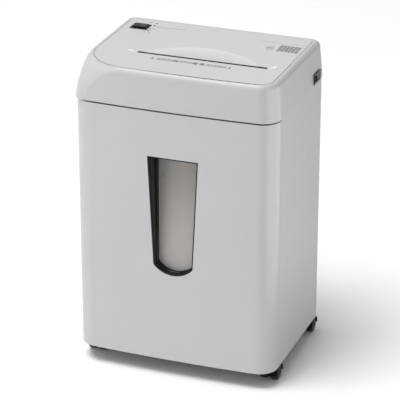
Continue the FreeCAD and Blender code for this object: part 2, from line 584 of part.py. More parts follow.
# rear power inlet
pi_body = shape_box(108, 103, 401, 134, YR + 0.0, 421).fuse(shape_box(104, YR, 397, 138, YR + 2.0, 425))
pi_body = pi_body.cut(shape_box(110, 106.5, 403.5, 132, YR + 3, 418.5))
for x in (115.0, 121.0, 127.0):
    pi_body = pi_body.fuse(shape_box(x - 1.0, 106.4, 409, x + 1.0, 120.0, 413))
feature("power_inlet", pi_body)


def screw(r_head, h_head, r_shank, l_shank):
    s = shape_cyl("y", 0, 0, 0, r_head, h_head).fuse(shape_cyl("y", 0, -l_shank, 0, r_shank, l_shank))
    return s.cut(shape_box(-r_head, h_head - 0.8, -0.5, r_head, h_head + 1, 0.5)).cut(shape_box(-0.5, h_head - 0.8, -r_head, 0.5, h_head + 1, r_head))


feature("back_screws", Part.makeCompound([move(screw(3.6, 1.8, 1.5, 6.0), x, YR, z) for x, z in BACK_SCREWS]))

# =============================================================== gear train


def gear_solid(m, z, face, phase, bore_r, add=1.0, back=0.10):
    """Involute spur gear about +X; phase is the angle of one tooth's centre."""
    rp = m * z / 2.0
    alpha = math.radians(20)
    rb = rp * math.cos(alpha)
    ra = rp + add * m
    rf = rp - 1.22 * m
    inv = math.tan(alpha) - alpha
    half_p = math.pi / (2 * z) - back * m / (2 * rp)

    def half_at(r):
        if r <= rb:
            return half_p + inv
        a = math.acos(rb / r)
        return half_p + inv - (math.tan(a) - a)

    start = max(rb, rf)
    radii = [start + (ra - start) * k / 5.0 for k in range(6)]
    pts = []
    for k in range(z):
        c = phase + 2 * math.pi * k / z
        flank = [(rf, half_at(start))] if rf < start - 1e-6 else []
        flank += [(r, half_at(r)) for r in radii]
        for r, h in flank:
            pts.append((r, c - h))
        for r, h in reversed(flank):
            pts.append((r, c + h))
    vec = [Vector(0, r * math.cos(a), r * math.sin(a)) for r, a in pts]
    vec.append(vec[0])
    s = Part.Face(Part.makePolygon(vec)).extrude(Vector(face, 0, 0))
    return s.cut(shape_cyl("x", -1, 0, 0, bore_r, face + 2))


def mesh_phase(z1, phase1, beta, z2):
    p1 = (z1 * (beta - phase1) / (2 * math.pi)) % 1.0
    return beta + math.pi - (2 * math.pi / z2) * (0.5 - p1)


FACE = S["gear_face"]
SR = S["shaft_radius"]
X_SYNC = -110.5
X_LOW = -123.0
X_HIGH = -135.5
ph_rear = math.radians(0.0)
ph_front = mesh_phase(Z_SYNC, ph_rear, math.pi, Z_SYNC)
ph_drive = math.radians(0.0)
ph_small = mesh_phase(Z_DRIVE, ph_drive, 0.0, Z_MID_SMALL)
ph_big = math.radians(4.0)
ph_motor = mesh_phase(Z_MID_BIG, ph_big, BETA, Z_MOTOR)


def cutter(lead, x_left):
    """Shaft with a row of cutting discs; the profile is turned about X."""
    pts = [(x_left, 0.0), (x_left, SR)]
    pts.append((X0 - 1.2, SR))
    x = X0 - 1.2
    pts.append((x, S["core_radius"]))
    for i in range(NDISC):
        a = X0 + PITCH * i + lead
        pts += [(a, S["core_radius"]), (a, S["disc_radius"]), (a + DW, S["disc_radius"]), (a + DW, S["core_radius"])]
    end = X0 + PITCH * NDISC + 1.2
    pts += [(end, S["core_radius"]), (end, SR), (XR1 + 3.0, SR), (XR1 + 3.0, 0.0)]
    clean = [pts[0]]
    for p in pts[1:]:
        if abs(p[0] - clean[-1][0]) + abs(p[1] - clean[-1][1]) > 1e-6:
            clean.append(p)
    vec = [Vector(px, py, 0) for px, py in clean]
    vec.append(vec[0])
    return Part.Face(Part.makePolygon(vec)).revolve(Vector(0, 0, 0), Vector(1, 0, 0), 360)


feature("cutter_rear", cutter(0.3, X_LOW - 3.0), (0, YRS, SZ))
feature("cutter_front", cutter(5.8, X_SYNC - 3.0), (0, YFS, SZ))
feature("sync_gear_rear", gear_solid(M_SYNC, Z_SYNC, FACE, ph_rear, SR), (X_SYNC, YRS, SZ))
feature("sync_gear_front", gear_solid(M_SYNC, Z_SYNC, FACE, ph_front, SR), (X_SYNC, YFS, SZ))
feature("drive_gear", gear_solid(M_LOW, Z_DRIVE, FACE, ph_drive, SR), (X_LOW, YRS, SZ))
small = move(gear_solid(M_LOW, Z_MID_SMALL, FACE, ph_small, 3.0 + S["run_clear"]), X_LOW)
big = move(gear_solid(M_HIGH, Z_MID_BIG, FACE, ph_big, 3.0 + S["run_clear"]), X_HIGH)
neck = shape_cyl("x", X_HIGH + FACE, 0, 0, 8.0, X_LOW - X_HIGH - FACE).cut(shape_cyl("x", X_HIGH, 0, 0, 3.0 + S["run_clear"], 30))
feature("intermediate_gear", small.fuse(big).fuse(neck).removeSplitter(), (0, MID_Y, MID_Z))
feature("motor_pinion", gear_solid(M_HIGH, Z_MOTOR, FACE, ph_motor, S["rotor_radius"], 0.85), (X_HIGH, MOT_Y, MOT_Z))
xf = XL1 + S["motor_long"] + 4.5
node(cyl("rotor_bar", "x", X_HIGH - 2.0, MOT_Y, MOT_Z, "rotor_radius", xf + 14.0 - (X_HIGH - 2.0)), "motor_shaft")
fan = shape_cyl("x", 0, 0, 0, 8.0, 11).cut(shape_cyl("x", -1, 0, 0, S["rotor_radius"], 20))
blade = Part.makeBox(10, 17.5, 1.4, Vector(0.5, 7.0, -0.7))
blades = []
for i in range(8):
    b = blade.copy()
    b.rotate(Vector(5.5, 12, 0), Vector(0, 1, 0), 28)
    b.rotate(Vector(0, 0, 0), Vector(1, 0, 0), i * 45)
    blades.append(b)
fan = fan.multiFuse(blades).cut(shape_cyl("x", -1, 0, 0, S["rotor_radius"], 20)).removeSplitter()
feature("motor_fan", fan, (xf, MOT_Y, MOT_Z))

flag = shape_cyl("x", -6.5, 0, 0, 1.5, 13.0)
lever = Part.Face(Part.makePolygon([Vector(-1.7, 2.2, 1.8), Vector(-1.7, 2.2, -1.8), Vector(-1.7, -9.0, -1.2), Vector(-1.7, -12.6, 0.0), Vector(-1.7, -12.4, 1.6), Vector(-1.7, -9.0, 1.6), Vector(-1.7, 2.2, 1.8)])).extrude(Vector(3.4, 0, 0))
feature("sensor_flag", flag.fuse(lever).removeSplitter(), (112.0, PVY, PVZ))

# ================================================================== drawer
front_top = SEAM - S["front_gap"]
c45 = math.cos(math.pi / 4)


def front_profile():
    out = bowed(HW, HW, YF, S["bow"], YR, S["corner_front"], S["corner_front"], 5, 5)
    inn = bowed(HW - WT, HW - WT, YF + WT, S["bow"], YR, S["corner_front"] - WT, S["corner_front"] - WT, 5, 5)
    res = []
    for es in (out, inn):
        for k in (7, 0, 1):
            e = es[k]
            a, b = e.ParameterRange
            p, q, r = e.valueAt(a), e.valueAt((a + b) / 2), e.valueAt(b)
            res.append(Part.Arc(p, q, r))
    yo = out[1].valueAt(out[1].ParameterRange[1]).y
    yi = inn[1].valueAt(inn[1].ParameterRange[1]).y
    yend = WRAP - 0.4
    for sx in (-1, 1):
        if abs(yo - yend) > 1e-6:
            res.append(line((sx * HW, yo), (sx * HW, yend)))
        res.append(line((sx * HW, yend), (sx * (HW - WT), yend)))
        if abs(yi - yend) > 1e-6:
            res.append(line((sx * (HW - WT), yend), (sx * (HW - WT), yi)))
    return res


WX, WTOP, WLOW = S["window_x"], S["window_top"], S["window_low"]


def window_outline(grow):
    """Tapered window with a straight top and a round bottom, as (x, z) pairs."""
    hw_top = 41.3 + grow
    hw_low = 32.4 + grow
    zt = WTOP + grow
    zl = WLOW + 25.0
    zb = WLOW - grow
    return [line((WX - hw_low, zl), (WX - hw_top, zt)), line((WX - hw_top, zt), (WX + hw_top, zt)),
            line((WX + hw_top, zt), (WX + hw_low, zl)),
            arc((WX + hw_low, zl), (WX, zb), (WX - hw_low, zl))]


def window_prism(grow, y0, y1):
    es = [g.toShape() for g in window_outline(grow)]
    f = Part.Face(Part.Wire(es))
    f.rotate(Vector(0, 0, 0), Vector(1, 0, 0), 90)
    f.translate(Vector(0, y0, 0))
    return f.extrude(Vector(0, y1 - y0, 0))


fp = new_body("front_panel")
pad(fp, "XY_Plane", "skirt_z", front_profile(), "seam_z - front_gap - skirt_z")
pocket(fp, "XZ_Plane", 140.0, window_outline(S["tray_wall"] + 0.25), 22.0)
pad(fp, "XZ_Plane", 110.4, rect(97, 442.5, 103, 450.5), 17.0)

# smoked recess tray: side walls, slanted pane and a flange behind the front
TW = S["tray_wall"]
y_face = YF - S["bow"] + 0.7


def wedge(extra):
    ya = y_face + S["tray_deep_top"] + extra
    yb2 = y_face + S["tray_deep_low"] + extra
    z0, z1 = WLOW - 20, WTOP + 20
    k = (ya - yb2) / (WTOP - WLOW)
    ylo = yb2 - 20 * k
    yhi = ya + 20 * k
    poly = Part.makePolygon([Vector(-100, -140, z0), Vector(-100, ylo, z0), Vector(-100, yhi, z1), Vector(-100, -140, z1), Vector(-100, -140, z0)])
    return Part.Face(poly).extrude(Vector(200, 0, 0))


tray = window_prism(TW, y_face, y_face + 60).common(wedge(TW)).cut(window_prism(0.0, y_face - 5, y_face + 60).common(wedge(0.0)))
flange = window_prism(TW + 8, YF - S["bow"] + WT + 0.75, YF - S["bow"] + WT + 2.75).cut(window_prism(TW - 0.5, -140, -60))
tray = tray.fuse(flange).removeSplitter()
feature("window_tray", tray)

BH, BF, BR = S["bin_half"], S["bin_front"], S["bin_rear"]
BW = S["bin_wall"]
bn = new_body("waste_bin")
pad(bn, "XY_Plane", "bin_floor", rect(-BH, BF, BH, BR, 18.0), "bin_top - bin_floor")
pad(bn, "XY_Plane", "bin_top - 2.5", rect(-S["rim_half"], -84.0, S["rim_half"], BR, 8.0), 2.5)
pocket(bn, "XY_Plane", "bin_top", rect(-BH + BW, BF + BW, BH - BW, BR - BW, 16.0), "bin_top - bin_floor - bin_wall")
pocket(bn, "XZ_Plane", -BF + 5, window_outline(TW + 8.6), 22.0)
feature("drawer_spacers", Part.makeCompound([shape_cyl("y", x, BF - 6.5, z, 6.0, 6.5) for x in (-110, 110) for z in (110, 400)]))

# ================================================================= casters
WR, WW, TR = S["wheel_radius"], S["wheel_wide"], S["caster_trail"]
gap = 4.3
yoke = shape_cyl("x", -3.9, TR, WR, 9.5, 7.8)
yoke = yoke.fuse(shape_box(-3.9, -4.0, WR + 5.0, 3.9, TR, 27.5))
hood = shape_cyl("x", -16.6, TR, WR, WR + 2.5, 33.2).cut(shape_cyl("x", -20, TR, WR, WR + 0.8, 40))
hood = hood.cut(shape_box(-30, -30, -5, 30, 40, WR - 1.0))
yoke = yoke.fuse(hood)
yoke = yoke.fuse(shape_cyl("z", 0, 0, 27.0, 7.0, 2.4))
yoke = yoke.fuse(shape_cyl("z", 0, 0, 20.0, S["stem_radius"], 22.5))
yoke = yoke.cut(shape_cyl("x", -20, TR, WR, WR + 0.8, 40).cut(shape_cyl("x", -3.9, TR, WR, 60, 7.8)))
axle = shape_cyl("x", -15.4, TR, WR, S["axle_radius"], 30.8)
yoke = yoke.fuse(axle).removeSplitter()
wheel = Part.Face(Part.makePolygon([Vector(0, 2.56, 0), Vector(0, 5.0, 0), Vector(0.6, 5.0, 0), Vector(0.6, 9.4, 0), Vector(0, 9.4, 0), Vector(0, WR - 1.2, 0), Vector(1.2, WR, 0),
                                    Vector(WW - 1.6, WR, 0), Vector(WW, WR - 1.6, 0), Vector(WW, 9.2, 0), Vector(WW - 1.0, 8.6, 0), Vector(WW - 1.0, 5.0, 0), Vector(WW, 4.4, 0), Vector(WW, 2.56, 0), Vector(0, 2.56, 0)])).revolve(Vector(0, 0, 0), Vector(1, 0, 0), 360)
mirror = wheel.mirror(Vector(0, 0, 0), Vector(1, 0, 0))
wheels = Part.makeCompound([move(wheel, gap, TR, WR), move(mirror, -gap, TR, WR)])
for name, x, y in CASTERS:
    feature("caster_yoke_" + name, yoke, (x, y, 0))
    feature("caster_wheels_" + name, wheels, (x, y, 0))

# ================================================================== export
doc.recompute()
for o in doc.Objects:
    bad = [s for s in o.State if s in ("Invalid", "Error")]
    if bad:
        raise RuntimeError("%s is %s" % (o.Label, bad))
total = 0
for label, obj in NODES:
    shp = obj.Shape
    if shp.isNull() or not shp.isValid() or shp.Volume <= 0:
        raise RuntimeError(label + ": bad shape")
    shp.exportStep("parts/%s.step" % label)
    total += 1
    b = shp.BoundBox
    print("%-26s solids %d vol %9.0f  x %.1f..%.1f y %.1f..%.1f z %.1f..%.1f" % (label, len(shp.Solids), shp.Volume, b.XMin, b.XMax, b.YMin, b.YMax, b.ZMin, b.ZMax))
print("nodes", total)
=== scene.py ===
import json
import math
import random

import bmesh
import bpy
import numpy as np
from mathutils import Euler, Matrix, Vector


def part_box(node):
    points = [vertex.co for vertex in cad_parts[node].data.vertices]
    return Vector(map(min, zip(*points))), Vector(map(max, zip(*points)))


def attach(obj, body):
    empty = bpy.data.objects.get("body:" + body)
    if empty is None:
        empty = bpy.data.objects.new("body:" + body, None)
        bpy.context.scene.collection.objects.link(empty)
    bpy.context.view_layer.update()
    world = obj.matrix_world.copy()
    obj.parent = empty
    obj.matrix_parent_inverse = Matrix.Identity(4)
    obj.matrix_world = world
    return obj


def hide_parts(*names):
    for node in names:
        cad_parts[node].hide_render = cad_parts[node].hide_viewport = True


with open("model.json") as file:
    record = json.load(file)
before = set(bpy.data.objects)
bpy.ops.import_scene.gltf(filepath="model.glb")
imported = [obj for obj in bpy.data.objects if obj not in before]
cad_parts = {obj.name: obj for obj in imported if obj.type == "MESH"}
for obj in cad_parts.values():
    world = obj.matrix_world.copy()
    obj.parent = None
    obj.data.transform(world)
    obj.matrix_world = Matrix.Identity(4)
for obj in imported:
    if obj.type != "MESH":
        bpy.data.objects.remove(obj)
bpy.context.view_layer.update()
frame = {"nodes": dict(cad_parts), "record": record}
REC = frame["record"]
BODY = {n: b for b, ns in REC["behaviour"]["bodies"].items() for n in ns}
SLOT = {s["node"]: s["material_slot"] for s in REC["subparts"]}
MM = 0.001


def box_mm(node):
    lo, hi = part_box(node)
    return [v / MM for v in lo], [v / MM for v in hi]


# --------------------------------------------------------------- materials
class Mat:
    """A Principled material and short calls for the nodes that drive it."""

    def __init__(self, name, rough=0.5, metal=0.0, spec=0.5, ior=1.46):
        self.m = bpy.data.materials.new(name)
        self.m.use_nodes = True
        self.nt = self.m.node_tree
        self.nt.nodes.clear()
        out = self.nt.nodes.new("ShaderNodeOutputMaterial")
        self.b = self.nt.nodes.new("ShaderNodeBsdfPrincipled")
        self.nt.links.new(self.b.outputs[0], out.inputs[0])
        self.b.inputs["Roughness"].default_value = rough
        self.b.inputs["Metallic"].default_value = metal
        self.b.inputs["Specular IOR Level"].default_value = spec
        self.b.inputs["IOR"].default_value = ior
        self.co = self.nt.nodes.new("ShaderNodeTexCoord").outputs["Object"]

    def node(self, kind, **inputs):
        n = self.nt.nodes.new(kind)
        for k, v in inputs.items():
            self.put(n, k.replace("_", " "), v)
        return n

    def put(self, n, key, v):
        s = n.inputs[key] if not key.isdigit() else n.inputs[int(key)]
        if isinstance(v, bpy.types.NodeSocket):
            self.nt.links.new(v, s)
        else:
            s.default_value = v

    def stretch(self, sx, sy, sz):
        n = self.nt.nodes.new("ShaderNodeMapping")
        self.nt.links.new(self.co, n.inputs["Vector"])
        n.inputs["Scale"].default_value = (sx, sy, sz)
        return n.outputs[0]

    def noise(self, scale, detail=3.0, rough=0.55, co=None, distortion=0.0):
        n = self.nt.nodes.new("ShaderNodeTexNoise")
        self.nt.links.new(co or self.co, n.inputs["Vector"])
        n.inputs["Scale"].default_value = scale
        n.inputs["Detail"].default_value = detail
        n.inputs["Roughness"].default_value = rough
        n.inputs["Distortion"].default_value = distortion
        return n.outputs["Fac"]

    def voronoi(self, scale, feature="F1", co=None):
        n = self.nt.nodes.new("ShaderNodeTexVoronoi")
        n.feature = feature
        self.nt.links.new(co or self.co, n.inputs["Vector"])
        n.inputs["Scale"].default_value = scale
        return n.outputs["Distance"]

    def wave(self, scale, axis="X", distortion=0.0, co=None):
        n = self.nt.nodes.new("ShaderNodeTexWave")
        n.bands_direction = axis
        self.nt.links.new(co or self.co, n.inputs["Vector"])
        n.inputs["Scale"].default_value = scale
        n.inputs["Distortion"].default_value = distortion
        return n.outputs["Fac"]

    def span(self, fac, lo, hi, a=0.3, b=0.7):
        n = self.nt.nodes.new("ShaderNodeMapRange")
        self.nt.links.new(fac, n.inputs["Value"])
        n.inputs["From Min"].default_value = a
        n.inputs["From Max"].default_value = b
        n.inputs["To Min"].default_value = lo
        n.inputs["To Max"].default_value = hi
        return n.outputs["Result"]

    def ramp(self, fac, stops):
        n = self.nt.nodes.new("ShaderNodeValToRGB")
        self.nt.links.new(fac, n.inputs["Fac"])
        e = n.color_ramp.elements
        while len(e) < len(stops):
            e.new(0.5)
        for s, (p, c) in zip(e, stops):
            s.position = p
            s.color = (c[0], c[1], c[2], 1.0)
        return n.outputs["Color"]

    def mix(self, fac, a, b, mode="MIX"):
        n = self.nt.nodes.new("ShaderNodeMix")
        n.data_type = "RGBA"
        n.blend_type = mode
        for key, v in (("Factor_Float", fac), ("A_Color", a), ("B_Color", b)):
            s = [i for i in n.inputs if i.identifier == key][0]
            if isinstance(v, bpy.types.NodeSocket):
                self.nt.links.new(v, s)
            else:
                s.default_value = v if key == "Factor_Float" else (v[0], v[1], v[2], 1.0)
        return [o for o in n.outputs if o.identifier == "Result_Color"][0]

    def colour(self, src):
        self.nt.links.new(src, self.b.inputs["Base Color"])
        return self

    def roughness(self, src):
        self.nt.links.new(src, self.b.inputs["Roughness"])
        return self

    def bump(self, *layers):
        """layers are (height socket, distance in metres)."""
        last = None
        for h, dist in layers:
            n = self.nt.nodes.new("ShaderNodeBump")
            n.inputs["Strength"].default_value = 1.0
            n.inputs["Distance"].default_value = dist
            self.nt.links.new(h, n.inputs["Height"])
            if last is not None:
                self.nt.links.new(last, n.inputs["Normal"])
            last = n.outputs["Normal"]
        self.nt.links.new(last, self.b.inputs["Normal"])
        return self


def tint(c, k):
    return tuple(v * k for v in c)


def moulded(name, c, rough=(0.31, 0.39), grain=1500.0, depth=0.000006, mottle=0.02, spec=0.5):
    """Injection-moulded plastic: spark-eroded grain, slight flow mottling, uneven sheen."""
    m = Mat(name, spec=spec)
    broad = m.noise(5.0, 4.0, 0.6)
    fine = m.noise(grain, 2.0, 0.6)
    base = m.ramp(broad, [(0.30, tint(c, 1 - mottle)), (0.5, c), (0.70, tint(c, 1 + mottle * 0.6))])
    speck = m.ramp(fine, [(0.35, (0.965, 0.965, 0.965)), (0.62, (1.0, 1.0, 1.0))])
    m.colour(m.mix(1.0, base, speck, "MULTIPLY"))
    m.roughness(m.span(m.noise(38.0, 5.0, 0.6), rough[0], rough[1]))
    m.bump((fine, depth), (m.noise(grain * 0.28, 2.0, 0.5), depth * 0.9))
    return m.m


def gloss_black(name, c=(0.009, 0.009, 0.010), rough=(0.22, 0.34), dust=0.015, spec=0.5):
    m = Mat(name, spec=spec)
    smear = m.noise(60.0, 6.0, 0.65, distortion=0.4)
    fine = m.noise(2400.0, 2.0, 0.5)
    lint = m.ramp(m.noise(700.0, 4.0, 0.7), [(0.60, c), (0.78, tuple(v + dust for v in c))])
    m.colour(lint)
    m.roughness(m.span(smear, rough[0], rough[1]))
    m.bump((fine, 0.000006))
    return m.m


def sheet_steel(name, c=(0.60, 0.61, 0.62), rough=(0.28, 0.42), along="x"):
    """Zinc-plated sheet: rolled grain and spangle."""
    m = Mat(name, metal=1.0)
    k = {"x": (6, 500, 500), "y": (500, 6, 500), "z": (500, 500, 6)}[along]
    grain = m.noise(1.0, 4.0, 0.6, co=m.stretch(*k))
    spangle = m.voronoi(120.0)
    tone = m.ramp(spangle, [(0.0, tint(c, 0.86)), (0.5, c), (1.0, tint(c, 1.06))])
    m.colour(m.mix(0.35, tone, m.ramp(grain, [(0.3, tint(c, 0.78)), (0.7, tint(c, 1.08))])))
    m.roughness(m.span(grain, rough[0], rough[1]))
    m.bump((grain, 0.000012), (spangle, 0.000004))
    return m.m


def turned_steel(name, c, rough=(0.20, 0.34), oil=0.25):
    """Parts turned about X: tool marks run round the axis, with a thin film of oil."""
    m = Mat(name, metal=1.0)
    marks = m.noise(1.0, 3.0, 0.7, co=m.stretch(5200, 30, 30))
    film = m.noise(45.0, 4.0, 0.6)
    tone = m.ramp(marks, [(0.3, tint(c, 0.80)), (0.7, tint(c, 1.08))])
    m.colour(m.mix(m.span(film, 0.0, oil), tone, (0.16, 0.13, 0.09)))
    m.roughness(m.span(film, rough[0], rough[1]))
    m.bump((marks, 0.000015))
    return m.m


def bronze():
    m = Mat("sintered_bronze", metal=1.0)
    pores = m.voronoi(1900.0)
    m.colour(m.ramp(pores, [(0.05, (0.16, 0.10, 0.04)), (0.25, (0.60, 0.42, 0.19)), (1.0, (0.72, 0.53, 0.27))]))
    m.roughness(m.span(m.noise(300.0), 0.30, 0.5))
    m.bump((pores, 0.00002))
    return m.m


def circuit():
    """Solder mask over copper runs, with pads and a few vias."""
    m = Mat("solder_mask", rough=0.3)
    n = m.nt.nodes.new("ShaderNodeTexBrick")
    m.nt.links.new(m.stretch(60, 60, 60), n.inputs["Vector"])
    n.inputs["Scale"].default_value = 6.0
    n.inputs["Mortar Size"].default_value = 0.035
    n.inputs["Color1"].default_value = (0.010, 0.105, 0.040, 1)
    n.inputs["Color2"].default_value = (0.012, 0.120, 0.048, 1)
    n.inputs["Mortar"].default_value = (0.030, 0.200, 0.085, 1)
    via = m.ramp(m.voronoi(330.0), [(0.10, (1, 1, 1)), (0.13, (0, 0, 0))])
    m.colour(m.mix(via, n.outputs["Color"], (0.55, 0.52, 0.42)))
    m.roughness(m.span(m.noise(90.0), 0.22, 0.38))
    m.bump((n.outputs["Fac"], 0.00003))
    return m.m


def components():
    """Dark moulded cases whose tone differs a little from part to part."""
    m = Mat("component_cases")
    area = m.voronoi(45.0)
    m.colour(m.ramp(area, [(0.0, (0.012, 0.012, 0.014)), (0.4, (0.020, 0.022, 0.030)), (0.8, (0.045, 0.047, 0.052))]))
    m.roughness(m.span(m.noise(400.0), 0.35, 0.55))
    m.bump((m.noise(1400.0), 0.00001))
    return m.m


def enamel():
    m = Mat("motor_enamel")
    peel = m.noise(260.0, 2.0, 0.4)
    dust = m.noise(25.0, 6.0, 0.7)
    m.colour(m.ramp(dust, [(0.45, (0.010, 0.010, 0.012)), (0.75, (0.035, 0.034, 0.032))]))
    m.roughness(m.span(dust, 0.22, 0.5))
    m.bump((peel, 0.00005))
    return m.m


def nylon():
    m = Mat("natural_nylon")
    m.b.inputs["Subsurface Weight"].default_value = 0.15
    m.b.inputs["Subsurface Radius"].default_value = (0.004, 0.003, 0.002)
    flow = m.noise(80.0, 4.0, 0.6, distortion=0.6)
    grease = m.noise(160.0, 5.0, 0.7)
    m.colour(m.mix(m.span(grease, 0.0, 0.5, 0.5, 0.75), m.ramp(flow, [(0.3, (0.66, 0.62, 0.50)), (0.7, (0.76, 0.73, 0.62))]), (0.20, 0.15, 0.08)))
    m.roughness(m.span(grease, 0.28, 0.5))
    m.bump((flow, 0.00002))
    return m.m


def lens():
    m = Mat("indicator_lens", rough=0.18)
    m.colour(m.ramp(m.noise(900.0), [(0.3, (0.085, 0.088, 0.090)), (0.7, (0.13, 0.135, 0.14))]))
    m.b.inputs["Transmission Weight"].default_value = 0.25
    m.bump((m.voronoi(1600.0), 0.00003))
    return m.m


def smoked():
    """Smoked acrylic pane: deep warm grey body with a polished face and faint dust."""
    m = Mat("smoked_pane", rough=0.12, ior=1.49)
    body = m.noise(9.0, 3.0, 0.5)
    dust = m.noise(850.0, 5.0, 0.75)
    base = m.ramp(body, [(0.3, (0.405, 0.380, 0.364)), (0.7, (0.428, 0.402, 0.386))])
    m.colour(m.mix(m.span(dust, 0.0, 0.10, 0.55, 0.8), base, (0.55, 0.53, 0.50)))
    m.b.inputs["Transmission Weight"].default_value = 0.02
    m.b.inputs["Coat Weight"].default_value = 0.3
    m.b.inputs["Coat Roughness"].default_value = 0.08
    m.roughness(m.span(m.noise(30.0, 4.0), 0.26, 0.36))
    m.bump((m.noise(14.0, 2.0), 0.00004))
    return m.m


def rubber():
    """Hard tread with fine scuffs running round the wheel and a little floor dust."""
    m = Mat("wheel_tread", spec=0.35)
    scuff = m.noise(1.0, 4.0, 0.7, co=m.stretch(1500, 90, 90))
    dust = m.noise(240.0, 6.0, 0.75)
    m.colour(m.ramp(dust, [(0.45, (0.012, 0.012, 0.012)), (0.72, (0.040, 0.039, 0.037))]))
    m.roughness(m.span(scuff, 0.42, 0.66))
    m.bump((scuff, 0.00003))
    return m.m


def leather_grain(name, c, scale=900.0, depth=0.00006, rough=(0.45, 0.6)):
    m = Mat(name)
    cells = m.voronoi(scale)
    m.colour(m.ramp(m.noise(14.0, 4.0), [(0.3, tint(c, 0.88)), (0.7, tint(c, 1.10))]))
    m.roughness(m.span(cells, rough[0], rough[1], 0.0, 0.6))
    m.bump((cells, depth))
    return m.m


def ink(name, c):
    m = Mat(name, rough=0.5)
    cover = m.noise(1100.0, 4.0, 0.7)
    m.colour(m.ramp(cover, [(0.25, tint(c, 1.25)), (0.5, c)]))
    m.roughness(m.span(cover, 0.42, 0.6))
    m.bump((cover, 0.000004))
    return m.m


HOUSE = (0.510, 0.510, 0.521)
MATS = {
    "housing": moulded("housing_plastic", HOUSE),
    "panel": moulded("panel_plastic", (0.540, 0.540, 0.544), rough=(0.30, 0.38)),
    "label": moulded("label_film", (0.500, 0.500, 0.505), rough=(0.22, 0.30), grain=2600.0, depth=0.000004),
    "lens": lens(),
    "black_plastic": gloss_black("gloss_black_moulding", spec=0.28),
    "frame_plastic": leather_grain("grey_internal_moulding", (0.17, 0.17, 0.175), 700.0, 0.00003),
    "socket_plastic": leather_grain("black_nylon_socket", (0.020, 0.020, 0.021), 1200.0, 0.00002),
    "zinc_steel": sheet_steel("zinc_plated_sheet"),
    "bronze": bronze(),
    "comb_plastic": leather_grain("glass_filled_comb", (0.022, 0.022, 0.024), 1500.0, 0.00004, (0.5, 0.7)),
    "cutter_steel": turned_steel("ground_cutter_steel", (0.52, 0.52, 0.54)),
    "gear_steel": turned_steel("greased_gear_steel", (0.42, 0.42, 0.43), (0.25, 0.45), 0.45),
    "gear_nylon": nylon(),
    "motor_case": enamel(),
    "board": circuit(),
    "components": components(),
    "smoked": smoked(),
    "bin_plastic": leather_grain("bin_moulding", (0.040, 0.040, 0.043)),
    "caster_plastic": gloss_black("caster_nylon", (0.005, 0.005, 0.006), (0.38, 0.50), 0.006, 0.06),
    "caster_tyre": rubber(),
}
TRAY_BLACK = gloss_black("tray_gloss_black", (0.006, 0.006, 0.006), (0.12, 0.18), 0.006, 0.2)
# mid grey for the tray wall's channel is a painted reflection, and near-white for its bead is a painted highlight, on
# the black wall
TRAY_PAINTED_REFLECTION = leather_grain("tray_channel_painted_reflection", (0.330, 0.312, 0.300), 1300.0, 0.00002, (0.30, 0.42))
TRAY_PAINTED_HIGHLIGHT = leather_grain("tray_bead_painted_highlight", (0.86, 0.85, 0.84), 1300.0, 0.00001, (0.22, 0.32))
INK = ink("grey_print", (0.070, 0.070, 0.074))
GROOVE_PAINTED_SHADE = ink("groove_painted_shade", (0.27, 0.27, 0.28))
LIP_GREY = leather_grain("grey_slot_lip", (0.075, 0.075, 0.078), 1500.0, 0.00002, (0.5, 0.7))
INK_LIGHT = ink("pale_mark", (0.72, 0.72, 0.72))
# near-black colour for the faces inside the joint round the top panel: painted shade in the gap
SEAM_PAINTED_SHADE = leather_grain("painted_gap_shade", (0.030, 0.030, 0.032), 1400.0, 0.00002, (0.6, 0.8))

for name, ob in frame["nodes"].items():
    mat = MATS[SLOT[name]]
    if not ob.material_slots:
        ob.data.materials.append(mat)
    for s in ob.material_slots:
        s.material = mat


# ------------------------------------------------------------ mesh helpers
def link(name, me, body, mat, replaces=()):
    me.materials.clear()
    me.materials.append(mat)
    ob = bpy.data.objects.new(name, me)
    bpy.context.scene.collection.objects.link(ob)
    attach(ob, body)
    if replaces:
        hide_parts(*replaces)
    return ob


def finish_mesh(bm, name, smooth=35.0, soft_fix=None):
    bmesh.ops.recalc_face_normals(bm, faces=bm.faces)
    for f in bm.faces:
        f.smooth = True
    lim = math.radians(smooth)
    for e in bm.edges:
        if len(e.link_faces) == 2:
            e.smooth = e.calc_face_angle(0.0) < lim
            if soft_fix and not soft_fix(e):
                e.smooth = False
    me = bpy.data.meshes.new(name)
    bm.to_mesh(me)
    bm.free()
    return me


def soften(ob, width, segments=2, angle=32.0, weighted=True):
    """Small moulding radius along the hard edges, with clean flats."""
    b = ob.modifiers.new("edge_radius", "BEVEL")
    b.width = width * MM
    b.segments = segments
    b.limit_method = "ANGLE"
    b.angle_limit = math.radians(angle)
    b.use_clamp_overlap = True
    b.miter_outer = "MITER_ARC"
    if weighted:
        w = ob.modifiers.new("flat_normals", "WEIGHTED_NORMAL")
        w.keep_sharp = True
        w.weight = 80
    return ob


def cad_copy(node, piece=None, width=0.4, angle=32.0, segments=2, mat=None, soft_fix=None, dissolve=0.25):
    """A piece with the CAD node's exact shape, its facets cleaned and its edges given a radius."""
    src = frame["nodes"][node]
    bm = bmesh.new()
    bm.from_mesh(src.data)
    bmesh.ops.remove_doubles(bm, verts=bm.verts, dist=2e-6)
    if dissolve:
        bmesh.ops.dissolve_limit(bm, angle_limit=math.radians(dissolve), verts=bm.verts, edges=bm.edges)
    me = finish_mesh(bm, piece or node + "_skin", 35.0, soft_fix)
    ob = link(piece or node + "_skin", me, BODY[node], mat or MATS[SLOT[node]], (node,))
    if width:
        soften(ob, width, segments, angle)
    return ob


def grid_from_rings(bm, rings, wrap=False):
    """rings: equal-length closed rings of (x, y, z) mm; quads between neighbours."""
    rows = [[bm.verts.new((p[0] * MM, p[1] * MM, p[2] * MM)) for p in r] for r in rings]
    n = len(rows[0])
    pairs = list(zip(rows, rows[1:]))
    if wrap:
        pairs.append((rows[-1], rows[0]))
    for a, b in pairs:
        for i in range(n):
            j = (i + 1) % n
            bm.faces.new((a[i], a[j], b[j], b[i]))
    return rows


